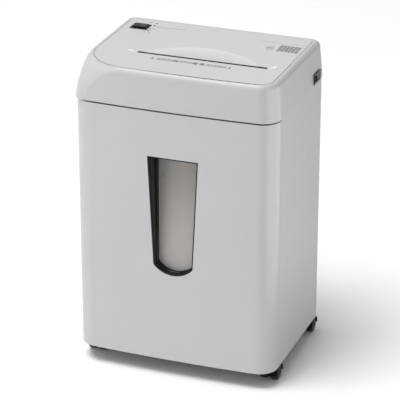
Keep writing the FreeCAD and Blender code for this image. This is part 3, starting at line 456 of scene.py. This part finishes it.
def prism_mm(bm, pts, z0, z1):
    """Closed prism over an (x, y) outline, in mm."""
    lo = [bm.verts.new((x * MM, y * MM, z0 * MM)) for x, y in pts]
    hi = [bm.verts.new((x * MM, y * MM, z1 * MM)) for x, y in pts]
    bm.faces.new(list(reversed(lo)))
    bm.faces.new(hi)
    n = len(pts)
    for i in range(n):
        j = (i + 1) % n
        bm.faces.new((lo[i], lo[j], hi[j], hi[i]))


def block_mm(bm, lo, hi):
    prism_mm(bm, [(lo[0], lo[1]), (hi[0], lo[1]), (hi[0], hi[1]), (lo[0], hi[1])], lo[2], hi[2])


def apply_boolean(ob, cutters, op="DIFFERENCE"):
    """Cuts by the closed meshes, and leaves a plain mesh with no modifier."""
    for i, cme in enumerate(cutters):
        c = bpy.data.objects.new("cut_tool_%d" % i, cme)
        bpy.context.scene.collection.objects.link(c)
        m = ob.modifiers.new("cut_%d" % i, "BOOLEAN")
        m.operation = op
        m.solver = "EXACT"
        m.object = c
    dg = bpy.context.evaluated_depsgraph_get()
    dg.update()
    new = bpy.data.meshes.new_from_object(ob.evaluated_get(dg), depsgraph=dg)
    tools = [m.object for m in ob.modifiers]
    ob.modifiers.clear()
    for c in tools:
        bpy.data.objects.remove(c, do_unlink=True)
    return new


def raw(name, bm):
    bmesh.ops.recalc_face_normals(bm, faces=bm.faces)
    me = bpy.data.meshes.new(name)
    bm.to_mesh(me)
    bm.free()
    return me


# ------------------------------------------------------ outline of the head
def smooth_table(rows):
    """Monotone cubic through the rows."""
    x = np.array([r[0] for r in rows], float)
    y = np.array([r[1] for r in rows], float)
    h = np.diff(x)
    d = np.diff(y) / h
    m = np.zeros(len(x))
    for k in range(1, len(x) - 1):
        if d[k - 1] * d[k] > 0:
            w1, w2 = 2 * h[k] + h[k - 1], h[k] + 2 * h[k - 1]
            m[k] = (w1 + w2) / (w1 / d[k - 1] + w2 / d[k])
    m[0], m[-1] = d[0], d[-1]

    def f(v):
        v = min(max(v, x[0]), x[-1])
        k = min(int(np.searchsorted(x, v, side="right")) - 1, len(h) - 1)
        t = (v - x[k]) / h[k]
        return float((2 * t ** 3 - 3 * t ** 2 + 1) * y[k] + (t ** 3 - 2 * t ** 2 + t) * h[k] * m[k] + (-2 * t ** 3 + 3 * t ** 2) * y[k + 1] + (t ** 3 - t ** 2) * h[k] * m[k + 1])

    return f


fb0, fb1 = box_mm("front_panel")
hb0, hb1 = box_mm("head_cover")
HW = fb1[0]
BOW = 5.0
YF = fb0[1] + BOW
YR = hb1[1]
FRONT_TOP = fb1[2]
SEAM = FRONT_TOP + 2.5
TOP = hb1[2]
RISE = TOP - SEAM
ZK = RISE / 66.0
run_front = smooth_table([(z * ZK, v) for z, v in ((0, 27.0), (10, 27.5), (20, 29.0), (27, 32.0), (33, 36.0), (40, 42.5), (47, 50.0), (53, 58.0), (57, 65.0), (61, 74.0), (66, 80.0))])
run_side = smooth_table([(z * ZK, v) for z, v in ((0, 27.0), (10, 28.5), (20, 32.0), (27, 36.5), (33, 41.0), (40, 47.5), (47, 56.0), (53, 65.0), (57, 73.0), (61, 81.0), (66, 86.0))])
turn_of = smooth_table([(z * ZK, v) for z, v in ((0, 2.0), (8, 8.0), (20, 14.0), (66, 14.0))])
COUNTS = (56, 18, 14, 9, 26, 9, 12, 40)


def outline(hl, hr, yf, bow, yr, rfl, rfr, rrl, rrr, shoulder=None):
    half = (hl + hr) / 2
    xm = (hr - hl) / 2
    big = half * half / (2 * bow) + bow / 2
    yc = yf - bow + big

    def corner(side, r):
        cx = side - r if side > 0 else side + r
        cy = yc - math.sqrt((big - r) ** 2 - (cx - xm) ** 2)
        d = Vector((cx - xm, cy - yc)).normalized()
        return Vector((cx, cy)), Vector((cx, cy)) + d * r, Vector((side, cy))

    def sweep(c, a, b, n, r):
        a0 = math.atan2(a[1] - c[1], a[0] - c[0])
        a1 = math.atan2(b[1] - c[1], b[0] - c[0])
        if a1 < a0:
            a1 += 2 * math.pi
        return [(c[0] + r * math.cos(a0 + (a1 - a0) * i / n), c[1] + r * math.sin(a0 + (a1 - a0) * i / n)) for i in range(n)]

    def run(a, b, n):
        return [(a[0] + (b[0] - a[0]) * i / n, a[1] + (b[1] - a[1]) * i / n) for i in range(n)]

    ctr, tr, sr = corner(hr, rfr)
    if shoulder:
        a, b, turn = shoulder
        x = -hl + a
        tl = (x, yc - math.sqrt(big * big - (x - xm) ** 2))
        sl = (-hl, yf + b)
        q = (-hl, tl[1] + a * math.tan(math.radians(turn)))
    else:
        ctl, tl, sl = corner(-hl, rfl)
    pts = sweep((xm, yc), tl, tr, COUNTS[0], big)
    pts += sweep(ctr, tr, sr, COUNTS[1], rfr)
    pts += run(sr, (hr, yr - rrr), COUNTS[2])
    pts += sweep((hr - rrr, yr - rrr), (hr, yr - rrr), (hr - rrr, yr), COUNTS[3], rrr)
    pts += run((hr - rrr, yr), (-hl + rrl, yr), COUNTS[4])
    pts += sweep((-hl + rrl, yr - rrl), (-hl + rrl, yr), (-hl, yr - rrl), COUNTS[5], rrl)
    pts += run((-hl, yr - rrl), sl, COUNTS[6])
    n = COUNTS[7]
    if shoulder:
        for i in range(n):
            t = i / n
            pts.append(((1 - t) ** 2 * sl[0] + 2 * t * (1 - t) * q[0] + t * t * tl[0], (1 - t) ** 2 * sl[1] + 2 * t * (1 - t) * q[1] + t * t * tl[1]))
    else:
        pts += sweep(ctl, sl, tl, n, rfl)
    return pts


def head_ring(z, inset):
    hr = HW + 1.1 - 3.6 * z / RISE - inset
    hl = HW + 1.1 - 5.0 * z / RISE - inset
    yr = YR - 8.0 * z / RISE - inset
    rr = max(3.0, 14.0 - inset)
    sh = (run_front(z) - inset * 0.45, run_side(z) - inset * 0.45, turn_of(z))
    return outline(hl, hr, YF + inset, BOW, yr, 0, max(8.0, 31.0 - inset), rr, rr, sh)


def panel_ring(grow):
    return outline(158.5 + grow, 159.5 + grow, -118.5 - grow, 4.5, 105.0 + grow, 74.0 + grow, 22.0 + grow, max(2.0, 11.0 + grow), max(2.0, 8.0 + grow))


def lift(pts, z):
    return [(x, y, z) for x, y in pts]


def build_head():
    WT = 3.0
    rings = [lift(head_ring(0, 0.55), SEAM), lift(head_ring(0, 0.16), SEAM + 0.16), lift(head_ring(0.55, 0), SEAM + 0.55)]
    z = 2.5
    while z < RISE - 9.0 - 1.0:
        rings.append(lift(head_ring(z, 0), SEAM + z))
        z += 2.5
    last = None
    for deg in (0, 9, 18, 27, 36, 45):
        a = math.radians(deg)
        inset = 9.0 * (1 - math.cos(a))
        zz = RISE - 9.0 + 9.0 * math.sin(a)
        last = head_ring(zz, inset)
        rings.append(lift(last, SEAM + zz))
    edge = panel_ring(0.6 + 0.45)
    for t in (0.25, 0.5, 0.75, 1.0):
        ring = []
        for (ax, ay), (bx, by) in zip(last, edge):
            x, y = ax + (bx - ax) * t, ay + (by - ay) * t
            d = inset + math.hypot(x - ax, y - ay)
            zz = TOP - 9.0 + 9.0 * math.sqrt(max(0.0, 1 - (1 - d / 9.0) ** 2)) if d < 9.0 else TOP
            ring.append((x, y, zz))
        rings.append(ring)
    crest = ring
    wall = panel_ring(0.6)
    for dz, k in ((0.14, 0.68), (0.45, 1.0)):
        rings.append([(a[0] + (b[0] - a[0]) * k, a[1] + (b[1] - a[1]) * k, a[2] - dz) for a, b in zip(crest, wall)])
    rings.append(lift(wall, TOP - 2.5))
    rings.append(lift(panel_ring(-6.0), TOP - 2.5))
    rings.append(lift(panel_ring(-6.0), TOP - 4.5))
    for z, ins in ((RISE - 4.5, 9.0), (RISE - 7.0, 4.6), (RISE - 11.0, WT)):
        rings.append(lift(head_ring(z, ins), SEAM + z))
    for z in (42, 32, 22, 11):
        rings.append(lift(head_ring(z, WT), SEAM + z))
    rings.append(lift(head_ring(0, WT), SEAM))
    bm = bmesh.new()
    grid_from_rings(bm, rings, wrap=True)
    me = raw("head_cover_raw", bm)
    ob = bpy.data.objects.new("head_tmp", me)
    bpy.context.scene.collection.objects.link(ob)
    pb0, pb1 = box_mm("power_switch_housing")
    cuts = []
    bm = bmesh.new()
    block_mm(bm, (160, pb0[1] + 2.2, pb0[2] + 2.2), (182, pb1[1] - 2.2, pb1[2] - 2.2))
    cuts.append(raw("c0", bm))
    bm = bmesh.new()
    for i in range(10):
        x = -98 + i * 11
        # round-ended slots through the back wall
        pts = []
        r = 2.5
        for k in range(9):
            a = math.pi * k / 8
            pts.append((x + r + r * math.cos(a), SEAM + 46 - r + r * math.sin(a)))
        for k in range(9):
            a = math.pi + math.pi * k / 8
            pts.append((x + r + r * math.cos(a), SEAM + 18 + r + r * math.sin(a)))
        lo = [bm.verts.new((px * MM, 100 * MM, pz * MM)) for px, pz in pts]
        hi = [bm.verts.new((px * MM, 135 * MM, pz * MM)) for px, pz in pts]
        bm.faces.new(lo)
        bm.faces.new(list(reversed(hi)))
        for k in range(len(pts)):
            j = (k + 1) % len(pts)
            bm.faces.new((lo[j], lo[k], hi[k], hi[j]))
    cuts.append(raw("c1", bm))
    new = apply_boolean(ob, cuts)
    bpy.data.objects.remove(ob, do_unlink=True)
    bm = bmesh.new()
    bm.from_mesh(new)
    bmesh.ops.remove_doubles(bm, verts=bm.verts, dist=1e-6)
    edge = panel_ring(1.0)

    def inside(x, y):
        odd = False
        for (ax, ay), (bx, by) in zip(edge, edge[1:] + edge[:1]):
            if (ay > y) != (by > y) and x < ax + (y - ay) * (bx - ax) / (by - ay):
                odd = not odd
        return odd

    # recess faces round the top panel take the near-black second material: painted shade in the gap
    for f in bm.faces:
        c = f.calc_center_median() * 1000
        if TOP - 2.7 < c.z < TOP - 0.05 and inside(c.x, c.y):
            f.material_index = 1
    me = finish_mesh(bm, "head_cover_skin", 40.0)
    ob = link("head_cover_skin", me, "cabinet", MATS["housing"], ("head_cover",))
    ob.data.materials.append(SEAM_PAINTED_SHADE)
    w = ob.modifiers.new("flat_normals", "WEIGHTED_NORMAL")
    w.keep_sharp = True
    w.weight = 60
    return ob


build_head()


# ------------------------------------------------------------- front panel
def window_pts(grow, n_arc=28, n_side=1):
    """Tapered window with a straight top and a round bottom, as (x, z) pairs going round."""
    hw_top, hw_low = 41.3 + grow, 31.9 + grow
    zt, zl, zb = WTOP + grow, WLOW + 15.0 - 0.6 * grow, WLOW - grow
    # arc through the two lower corners and the lowest point
    h = zl - zb
    r = (hw_low * hw_low + h * h) / (2 * h)
    cz = zb + r
    a0 = math.atan2(zl - cz, -hw_low)
    a1 = math.atan2(zl - cz, hw_low)
    if a1 < a0:
        a1 += 2 * math.pi
    pts = [(WX - hw_top, zt), (WX - hw_low, zl)]
    for i in range(1, n_arc):
        a = a0 + (a1 - a0) * i / n_arc
        pts.append((WX + r * math.cos(a), cz + r * math.sin(a)))
    pts += [(WX + hw_low, zl), (WX + hw_top, zt)]
    return pts


WX, WTOP, WLOW = 2.0, 388.5, 187.0
CF = 32.0
WRAP = -93.0


def front_outline(inset, n_front=84, n_corner=16):
    hw, yf, r = HW - inset, YF + inset, CF - inset
    half = hw
    big = half * half / (2 * BOW) + BOW / 2
    yc = yf - BOW + big
    pts = []
    cx = hw - r
    cy = yc - math.sqrt((big - r) ** 2 - cx ** 2)
    d = Vector((cx, cy - yc)).normalized()
    a_end = math.atan2(d[1], d[0])
    right = [(cx + r * math.cos(a_end + (0.0 - a_end) * i / n_corner), cy + r * math.sin(a_end + (0.0 - a_end) * i / n_corner)) for i in range(n_corner + 1)]
    a0 = math.atan2(d[1], -d[0])
    if a0 > 0:
        a0 -= 2 * math.pi
    a1 = a_end
    front = [(big * math.cos(a0 + (a1 - a0) * i / n_front), yc + big * math.sin(a0 + (a1 - a0) * i / n_front)) for i in range(1, n_front)]
    left = [(-x, y) for x, y in reversed(right)]
    end = WRAP - 0.4
    out = [(-hw, end)] if end - left[0][1] > 0.05 else []
    out += left + front + right
    if end - right[-1][1] > 0.05:
        out.append((hw, end))
    return out


def build_front():
    zlo, zhi = fb0[2], fb1[2]
    outer, inner = front_outline(0.0), front_outline(3.0)
    n = min(len(outer), len(inner))
    loop_pts = outer + list(reversed(inner))
    zs = [zlo + (zhi - zlo) * i / 22 for i in range(23)]
    bm = bmesh.new()

    def rise(x, z):
        # the joint under the head closes up towards the left corner
        t = min(1.0, max(0.0, (-140.0 - x) / 25.0)) * min(1.0, max(0.0, (z - zhi + 30.0) / 30.0))
        return z + 1.7 * t * t * (3 - 2 * t)

    rows = [[bm.verts.new((x * MM, y * MM, rise(x, z) * MM)) for x, y in loop_pts] for z in zs]
    m = len(loop_pts)
    for a, b in zip(rows, rows[1:]):
        for i in range(m):
            j = (i + 1) % m
            bm.faces.new((a[i], a[j], b[j], b[i]))
    k = len(outer)
    for row, flip in ((rows[0], True), (rows[-1], False)):
        o, q = row[:k], list(reversed(row[k:]))
        # close the top and bottom edge with a strip of quads
        steps = min(len(o), len(q)) - 1
        for i in range(steps):
            f = (o[i], o[i + 1], q[i + 1], q[i])
            bm.faces.new(tuple(reversed(f)) if flip else f)
        if len(o) != len(q):
            rest = o[steps:] + list(reversed(q[steps:]))
            bm.faces.new(rest)
    me = raw("front_raw", bm)
    ob = bpy.data.objects.new("front_tmp", me)
    bpy.context.scene.collection.objects.link(ob)
    bm = bmesh.new()
    pts = window_pts(2.25)
    lo = [bm.verts.new((x * MM, -140 * MM, z * MM)) for x, z in pts]
    hi = [bm.verts.new((x * MM, -115 * MM, z * MM)) for x, z in pts]
    bm.faces.new(lo)
    bm.faces.new(list(reversed(hi)))
    for i in range(len(pts)):
        j = (i + 1) % len(pts)
        bm.faces.new((lo[j], lo[i], hi[i], hi[j]))
    new = apply_boolean(ob, [raw("c2", bm)])
    bpy.data.objects.remove(ob, do_unlink=True)
    bm = bmesh.new()
    bm.from_mesh(new)
    bmesh.ops.remove_doubles(bm, verts=bm.verts, dist=1e-6)
    # interlock rib behind the top edge
    me = finish_mesh(bm, "front_panel_skin", 30.0)
    ob = link("front_panel_skin", me, "drawer", MATS["housing"], ("front_panel",))
    soften(ob, 0.7, 3, 40.0)
    bm = bmesh.new()
    block_mm(bm, (97, -127.2, 442.5), (103, -110.4, 450.5))
    rib = link("interlock_rib", finish_mesh(bm, "interlock_rib", 30.0), "drawer", MATS["housing"])
    soften(rib, 0.4)
    return ob


build_front()


# ------------------------------------------------------- smoked grip window
def pane_y(z, off=0.0):
    t = (z - WLOW) / (WTOP - WLOW)
    return Y_FACE + 17.0 + (45.0 - 17.0) * t + off


Y_FACE = box_mm("window_tray")[0][1]


def window_loop(grow, n_side=30, n_top=12, n_arc=36):
    """The same outline with evenly spaced points on its straight runs."""
    base = window_pts(grow, n_arc)
    out = []
    tl, ll = base[0], base[1]
    for i in range(n_side):
        out.append((tl[0] + (ll[0] - tl[0]) * i / n_side, tl[1] + (ll[1] - tl[1]) * i / n_side))
    out += base[1:-1]
    lr, tr = base[-2], base[-1]
    out.pop()
    for i in range(n_side):
        out.append((lr[0] + (tr[0] - lr[0]) * i / n_side, lr[1] + (tr[1] - lr[1]) * i / n_side))
    for i in range(n_top):
        out.append((tr[0] + (tl[0] - tr[0]) * i / n_top, tr[1] + (tl[1] - tr[1]) * i / n_top))
    return out


def build_window():
    # side walls: a lip, a shallow channel, a bead and the seat of the pane
    prof = [(2.0, 0.0, 3.2), (2.0, 0.0, 0.55), (1.75, 0.0, 0.14), (1.35, 0.0, 0.0), (0.55, 0.0, 0.0), (0.16, 0.0, 0.14), (0.0, 0.0, 0.55),
            (0.0, 0.22, 0.0), (0.10, 0.26, 0.0), (0.95, 0.30, 0.0), (1.05, 0.34, 0.0), (1.05, 0.60, 0.0), (0.95, 0.64, 0.0), (0.05, 0.68, 0.0), (-0.45, 0.70, 0.0), (-0.60, 0.72, 0.0), (-0.60, 0.75, 0.0), (-0.45, 0.77, 0.0),
            (0.05, 0.79, 0.0), (0.30, 0.84, 0.0), (0.30, 0.96, 0.0), (0.0, 1.0, 0.0), (0.0, 1.0, 2.2), (2.0, 1.0, 2.2)]
    rings = []
    for grow, frac, extra in prof:
        pts = window_loop(grow)
        ring = []
        for x, z in pts:
            full = pane_y(z) - Y_FACE
            ring.append((x, Y_FACE + full * frac + extra, z))
        rings.append(ring)
    bm = bmesh.new()
    grid_from_rings(bm, rings, wrap=True)
    # channel faces get the mid grey, a painted reflection, and bead faces the near-white, a painted highlight
    for f in bm.faces:
        c = f.calc_center_median() * 1000
        frac = (c.y - Y_FACE) / (pane_y(c.z) - Y_FACE)
        if 0.31 < frac < 0.62:
            f.material_index = 1
        elif 0.69 < frac < 0.76:
            f.material_index = 2
    me = finish_mesh(bm, "tray_walls", 50.0)
    walls = link("window_tray_walls", me, "drawer", TRAY_BLACK, ("window_tray",))
    walls.data.materials.append(TRAY_PAINTED_REFLECTION)
    walls.data.materials.append(TRAY_PAINTED_HIGHLIGHT)
    # flange that holds the tray behind the front panel
    bm = bmesh.new()
    y0, y1 = YF - BOW + 3.75, YF - BOW + 5.75
    rings = []
    for grow, y in ((10.0, y0), (10.0, y1), (2.05, y1), (2.05, y0)):
        rings.append([(x, y, z) for x, z in window_loop(grow)])
    grid_from_rings(bm, rings, wrap=True)
    link("window_tray_flange", finish_mesh(bm, "tray_flange", 30.0), "drawer", TRAY_BLACK)
    # slanted pane, slightly dished like a moulded sheet
    bm = bmesh.new()
    levels = [(0.25, 1.2), (0.25, 0.35), (0.0, 0.05), (-0.4, 0.0)]
    rings = []
    for grow, off in levels:
        rings.append([(x, pane_y(z, off), z) for x, z in window_loop(grow)])
    steps = 7
    core = window_loop(-0.4)
    cx, cz = WX, (WTOP + WLOW) / 2
    for s in range(1, steps):
        k = 1 - s / steps
        rings.append([(cx + (x - cx) * k, pane_y(cz + (z - cz) * k, 0.0), cz + (z - cz) * k) for x, z in core])
    rows = grid_from_rings(bm, rings)
    mid = bm.verts.new((cx * MM, pane_y(cz) * MM, cz * MM))
    r = rows[-1]
    for i in range(len(r)):
        bm.faces.new((r[i], r[(i + 1) % len(r)], mid))
    back = [bm.verts.new((x * MM, pane_y(z, 2.0) * MM, z * MM)) for x, z in window_loop(0.25)]
    for i in range(len(back)):
        j = (i + 1) % len(back)
        bm.faces.new((rows[0][j], rows[0][i], back[i], back[j]))
    mid2 = bm.verts.new((cx * MM, pane_y(cz, 2.0) * MM, cz * MM))
    for i in range(len(back)):
        bm.faces.new((back[(i + 1) % len(back)], back[i], mid2))
    link("window_pane", finish_mesh(bm, "window_pane", 50.0), "drawer", MATS["smoked"])


build_window()


# ------------------------------------------------- pieces with CAD shapes
def near_top(e):
    """Keeps the rim of the shallow dish crisp."""
    a, b = e.link_faces
    flat = [abs(f.normal.z) > 0.99999 for f in (a, b)]
    return not (flat[0] != flat[1] and e.calc_face_angle(0.0) > math.radians(1.5))


panel_ob = cad_copy("top_panel", width=0.30, soft_fix=near_top, dissolve=0.15)
panel_ob.data.materials.append(SEAM_PAINTED_SHADE)
# outer side faces of the top panel take the near-black second material: painted shade in the gap
for poly in panel_ob.data.polygons:
    c = poly.center * 1000
    if abs(poly.normal.z) < 0.3 and TOP - 3.0 < c.z and (c.x < -146 or c.x > 148 or c.y < -75 or c.y > 96):
        poly.material_index = 1

# black throat lip that lines the slot
ps0, ps1 = box_mm("paper_throat")
sx0, sx1 = ps0[0] + 2.8 + 0.08, ps1[0] - 2.8 - 0.08
sy0, sy1 = ps0[1] + 2.5 + 0.08, ps1[1] - 2.5 - 0.08
bm = bmesh.new()
for a, b in (((sx0, sy1 - 0.5, TOP - 7.5), (sx1, sy1, TOP - 0.65)), ((sx0, sy0, TOP - 7.5), (sx1, sy0 + 0.5, TOP - 1.9)),
             ((sx0, sy0 + 0.5, TOP - 7.5), (sx0 + 0.5, sy1 - 0.5, TOP - 1.9)), ((sx1 - 0.5, sy0 + 0.5, TOP - 7.5), (sx1, sy1 - 0.5, TOP - 1.9))):
    block_mm(bm, a, b)
lip = link("slot_lip", finish_mesh(bm, "slot_lip", 30.0), "cabinet", LIP_GREY)
soften(lip, 0.15, 2)
cad_copy("cabinet_shell", width=0.6, angle=40)
cad_copy("waste_bin", width=0.6)
cad_copy("mode_switch_housing", width=0.45, segments=3)
cad_copy("power_switch_housing", width=0.45, segments=3)
cad_copy("mode_rocker", width=0.5, segments=3)
cad_copy("power_rocker", width=0.5, segments=3)
cad_copy("indicator_lenses", width=0.25, segments=3, dissolve=0)
cad_copy("base_plate", width=0.4)
cad_copy("power_inlet", width=0.4)
for n in ("front_left", "front_right", "rear_left", "rear_right"):
    cad_copy("caster_yoke_" + n, width=0.5, segments=2)
    cad_copy("caster_wheels_" + n, width=0.35, segments=2)
for n in frame["nodes"]:
    if n not in ("top_panel", "cabinet_shell", "waste_bin", "mode_switch_housing", "power_switch_housing", "mode_rocker", "power_rocker", "indicator_lenses", "base_plate", "power_inlet", "front_panel", "head_cover", "window_tray", "instruction_label") and not n.startswith("caster_"):
        ob = frame["nodes"][n]
        b = ob.modifiers.new("weld", "WELD")
        b.merge_threshold = 2e-6
        b = ob.modifiers.new("edge_radius", "BEVEL")
        b.width = 0.25 * MM
        b.segments = 1
        b.limit_method = "ANGLE"
        b.angle_limit = math.radians(40)


# ------------------------------------------------------- print on the panel
def disc_pts(x, y, rx, ry=None, n=24):
    ry = ry or rx
    return [(x + rx * math.cos(2 * math.pi * i / n), y + ry * math.sin(2 * math.pi * i / n)) for i in range(n)]


def frame_mm(bm, x0, y0, x1, y1, t, z0, z1):
    for a in ((x0, y0, x1, y0 + t), (x0, y1 - t, x1, y1), (x0, y0 + t, x0 + t, y1 - t), (x1 - t, y0 + t, x1, y1 - t)):
        block_mm(bm, (a[0], a[1], z0), (a[2], a[3], z1))


lab0, lab1 = box_mm("instruction_label")
FILM = lab1[2]
rng = random.Random(7)

# film patches
bm = bmesh.new()
r = 1.6


def rounded(x0, y0, x1, y1, r, n=6):
    pts = []
    for cx, cy, a in ((x1 - r, y0 + r, -90), (x1 - r, y1 - r, 0), (x0 + r, y1 - r, 90), (x0 + r, y0 + r, 180)):
        for i in range(n + 1):
            t = math.radians(a + 90 * i / n)
            pts.append((cx + r * math.cos(t), cy + r * math.sin(t)))
    return pts


prism_mm(bm, rounded(117.0, 34.0, 154.5, 64.0, 1.6), TOP - 0.02, FILM)
prism_mm(bm, disc_pts(104.5, 45.0, 7.0, 8.0, 48), TOP - 0.02, FILM)
link("instruction_film", finish_mesh(bm, "instruction_film", 30.0), "cabinet", MATS["label"], ("instruction_label",))

# blank pictogram cells: outlines with plain discs and bars that stand for nothing
bm = bmesh.new()
cols, rows_n = 6, 4
gx, gy = 36.0 / cols, 28.4 / rows_n
f0, f1 = FILM - 0.01, FILM + 0.06
for i in range(cols):
    for j in range(rows_n):
        x0, y0 = 117.8 + i * gx, 34.8 + j * gy
        frame_mm(bm, x0 + 0.75, y0 + 0.95, x0 + gx - 0.75, y0 + gy - 0.95, 1.0, f0, f1)
        cx, cy = x0 + gx / 2, y0 + gy / 2
        kind = (i * 3 + j * 5) % 4
        if kind == 0:
            prism_mm(bm, disc_pts(cx, cy, 1.15, n=16), f0, f1)
        elif kind == 1:
            block_mm(bm, (cx - 1.1, cy - 1.6, f0), (cx + 1.1, cy - 0.5, f1))
            block_mm(bm, (cx - 1.1, cy + 0.5, f0), (cx + 1.1, cy + 1.6, f1))
        elif kind == 2:
            prism_mm(bm, [(cx - 1.2, cy - 1.4), (cx + 1.2, cy - 1.4), (cx, cy + 1.6)], f0, f1)
        else:
            block_mm(bm, (cx - 1.1, cy - 1.4, f0), (cx + 1.1, cy + 1.4, f1))
link("pictogram_cells", finish_mesh(bm, "pictogram_cells", 30.0), "cabinet", INK)

# blank oval outline on its own patch
bm = bmesh.new()
outer, inner = disc_pts(104.5, 45.0, 6.4, 7.4, 48), disc_pts(104.5, 45.0, 5.8, 6.8, 48)
rings = [lift(outer, f0), lift(outer, f1), lift(inner, f1), lift(inner, f0)]
grid_from_rings(bm, rings, wrap=True)
block_mm(bm, (101.3, 44.0, f0), (107.7, 46.0, f1))
link("blank_oval", finish_mesh(bm, "blank_oval", 30.0), "cabinet", INK)

# generic feed marks in front of the slot: arrow heads, bars and small blocks
z0, z1 = TOP - 0.02, TOP + 0.07
bm = bmesh.new()
ym = -65.5
prism_mm(bm, [(-58.5, ym - 3.2), (-53.0, ym - 3.2), (-55.7, ym + 3.4)], z0, z1)
prism_mm(bm, [(72.0, ym - 3.2), (77.5, ym - 3.2), (74.7, ym + 3.4)], z0, z1)


def ticks(xa, xb, step, rows):
    x = xa
    k = 0
    while x < xb:
        for n, (dy, h, w) in enumerate(rows):
            block_mm(bm, (x + 0.35 * ((k + n) % 2), ym + dy - h / 2, z0), (x + 0.35 * ((k + n) % 2) + w, ym + dy + h / 2, z1))
        x += step
        k += 1


ticks(-48.0, -20.5, 2.9, ((-2.4, 2.6, 1.9), (2.2, 2.6, 1.9)))
ticks(-10.0, 12.0, 2.7, ((-1.6, 2.2, 1.7), (2.0, 2.2, 1.7)))
ticks(36.0, 69.0, 2.8, ((-2.4, 2.5, 1.9), (2.2, 2.5, 1.9)))
for cx in (-15.5, 17.5, 28.5):
    frame_mm(bm, cx - 3.6, ym - 4.6, cx + 3.6, ym + 4.6, 1.3, z0, z1)
    prism_mm(bm, disc_pts(cx, ym, 2.1, n=16), z0, z1)
link("feed_marks", finish_mesh(bm, "feed_marks", 30.0), "cabinet", INK)

# plain dots and short bars beside the mode rocker
bm = bmesh.new()
for cx, cy, rr in ((-113.0, 93.0, 1.0), (-109.5, 71.0, 0.9), (-106.5, 45.0, 1.0)):
    prism_mm(bm, disc_pts(cx, cy, rr, n=16), z0, z1)
for cx, cy, w in ((-121.5, 94.0, 5.0), (-104.0, 63.0, 3.4), (-115.0, 46.5, 4.0), (-104.5, 81.0, 3.0)):
    block_mm(bm, (cx - w / 2, cy - 0.7, z0), (cx + w / 2, cy + 0.7, z1))
link("switch_marks", finish_mesh(bm, "switch_marks", 30.0), "cabinet", INK)

# grey line to the right of the rocker, painted shade in place of a groove, and pale paper-edge marks at both ends of
# the slot
bm = bmesh.new()
prism_mm(bm, [(-104.0, 74.6), (-54.0, 77.6), (-54.0, 79.2), (-104.0, 76.2)], z0, z1)
link("groove_painted_shade_line", finish_mesh(bm, "groove_painted_shade_line", 30.0), "cabinet", GROOVE_PAINTED_SHADE)
bm = bmesh.new()
prism_mm(bm, [(-106.5, -38.0), (-94.5, -43.6), (-94.5, -46.4), (-106.5, -46.0)], z0, z1)
prism_mm(bm, [(134.5, -46.2), (143.0, -43.0), (143.0, -27.0), (134.5, -42.4)], z0, z1)
link("edge_marks", finish_mesh(bm, "edge_marks", 30.0), "cabinet", INK_LIGHT)

# ------------------------------------------------------------ stage, light
world = bpy.data.worlds.new("studio_air")
bpy.context.scene.world = world
world.use_nodes = True
bg = world.node_tree.nodes["Background"]
bg.inputs["Color"].default_value = (1.0, 1.0, 1.0, 1.0)
# the air is a little darker on the object's right
wt = world.node_tree
coord = wt.nodes.new("ShaderNodeTexCoord")
dot = wt.nodes.new("ShaderNodeVectorMath")
dot.operation = "DOT_PRODUCT"
dot.inputs[1].default_value = (0.93, 0.35, -0.1)
wt.links.new(coord.outputs["Generated"], dot.inputs[0])
fade = wt.nodes.new("ShaderNodeMapRange")
fade.inputs["From Min"].default_value = -0.3
fade.inputs["From Max"].default_value = 0.8
fade.inputs["To Min"].default_value = 0.66
fade.inputs["To Max"].default_value = 0.28
wt.links.new(dot.outputs["Value"], fade.inputs["Value"])
wt.links.new(fade.outputs["Result"], bg.inputs["Strength"])

me = bpy.data.meshes.new("floor")
me.from_pydata([(-30, -30, 0), (30, -30, 0), (30, 30, 0), (-30, 30, 0)], [], [(0, 1, 2, 3)])
floor = bpy.data.objects.new("floor", me)
bpy.context.scene.collection.objects.link(floor)
fm = Mat("pale_floor", rough=0.85, spec=0.1)
fm.colour(fm.ramp(fm.noise(0.8, 4.0), [(0.3, (0.965, 0.965, 0.965)), (0.7, (0.985, 0.985, 0.985))]))
me.materials.append(fm.m)


def area(name, loc, look, size, power, size_y=None, spread=180.0, colour=(1, 1, 1)):
    l = bpy.data.lights.new(name, "AREA")
    l.energy = power
    l.color = colour
    l.shape = "RECTANGLE"
    l.size = size
    l.size_y = size_y or size
    l.spread = math.radians(spread)
    o = bpy.data.objects.new(name, l)
    bpy.context.scene.collection.objects.link(o)
    o.location = loc
    o.rotation_euler = (Vector(look) - Vector(loc)).to_track_quat("-Z", "Y").to_euler()
    return o


area("key_softbox", (-1.5, -1.7, 6.4), (0.0, 0.0, 0.35), 3.4, 312.0)
area("left_fill", (-0.58, -0.80, 0.42), (-0.10, -0.12, 0.28), 0.45, 0.6, 0.7).visible_glossy = False
strip = area("corner_strip", (0.475, -0.05, 0.31), (0.17, -0.05, 0.31), 0.70, 3.9, 0.60)
strip.visible_camera = False
back_card = area("back_card", (-0.85, 2.35, 3.55), (0.0, 0.0, 0.50), 2.2, 30.0, 1.2)
back_card.visible_diffuse = False
back_card.visible_camera = False
strip.visible_diffuse = False

cam = bpy.data.cameras.new("camera")
cam.sensor_width = 36.0
cam.lens = 2235.18 / 400.0 * 36.0
cam.clip_start = 0.1
cam.clip_end = 100.0
co = bpy.data.objects.new("camera", cam)
bpy.context.scene.collection.objects.link(co)
back = Vector((0.32099, -0.85764, 0.40178))
co.location = (1.19440, -3.18992, 1.76118)
co.rotation_euler = (-back).to_track_quat("-Z", "Y").to_euler()
bpy.context.scene.camera = co

bpy.context.scene.view_settings.view_transform = "Standard"
bpy.context.scene.view_settings.look = "None"
bpy.context.scene.view_settings.exposure = 0.0
bpy.context.scene.view_settings.gamma = 1.0
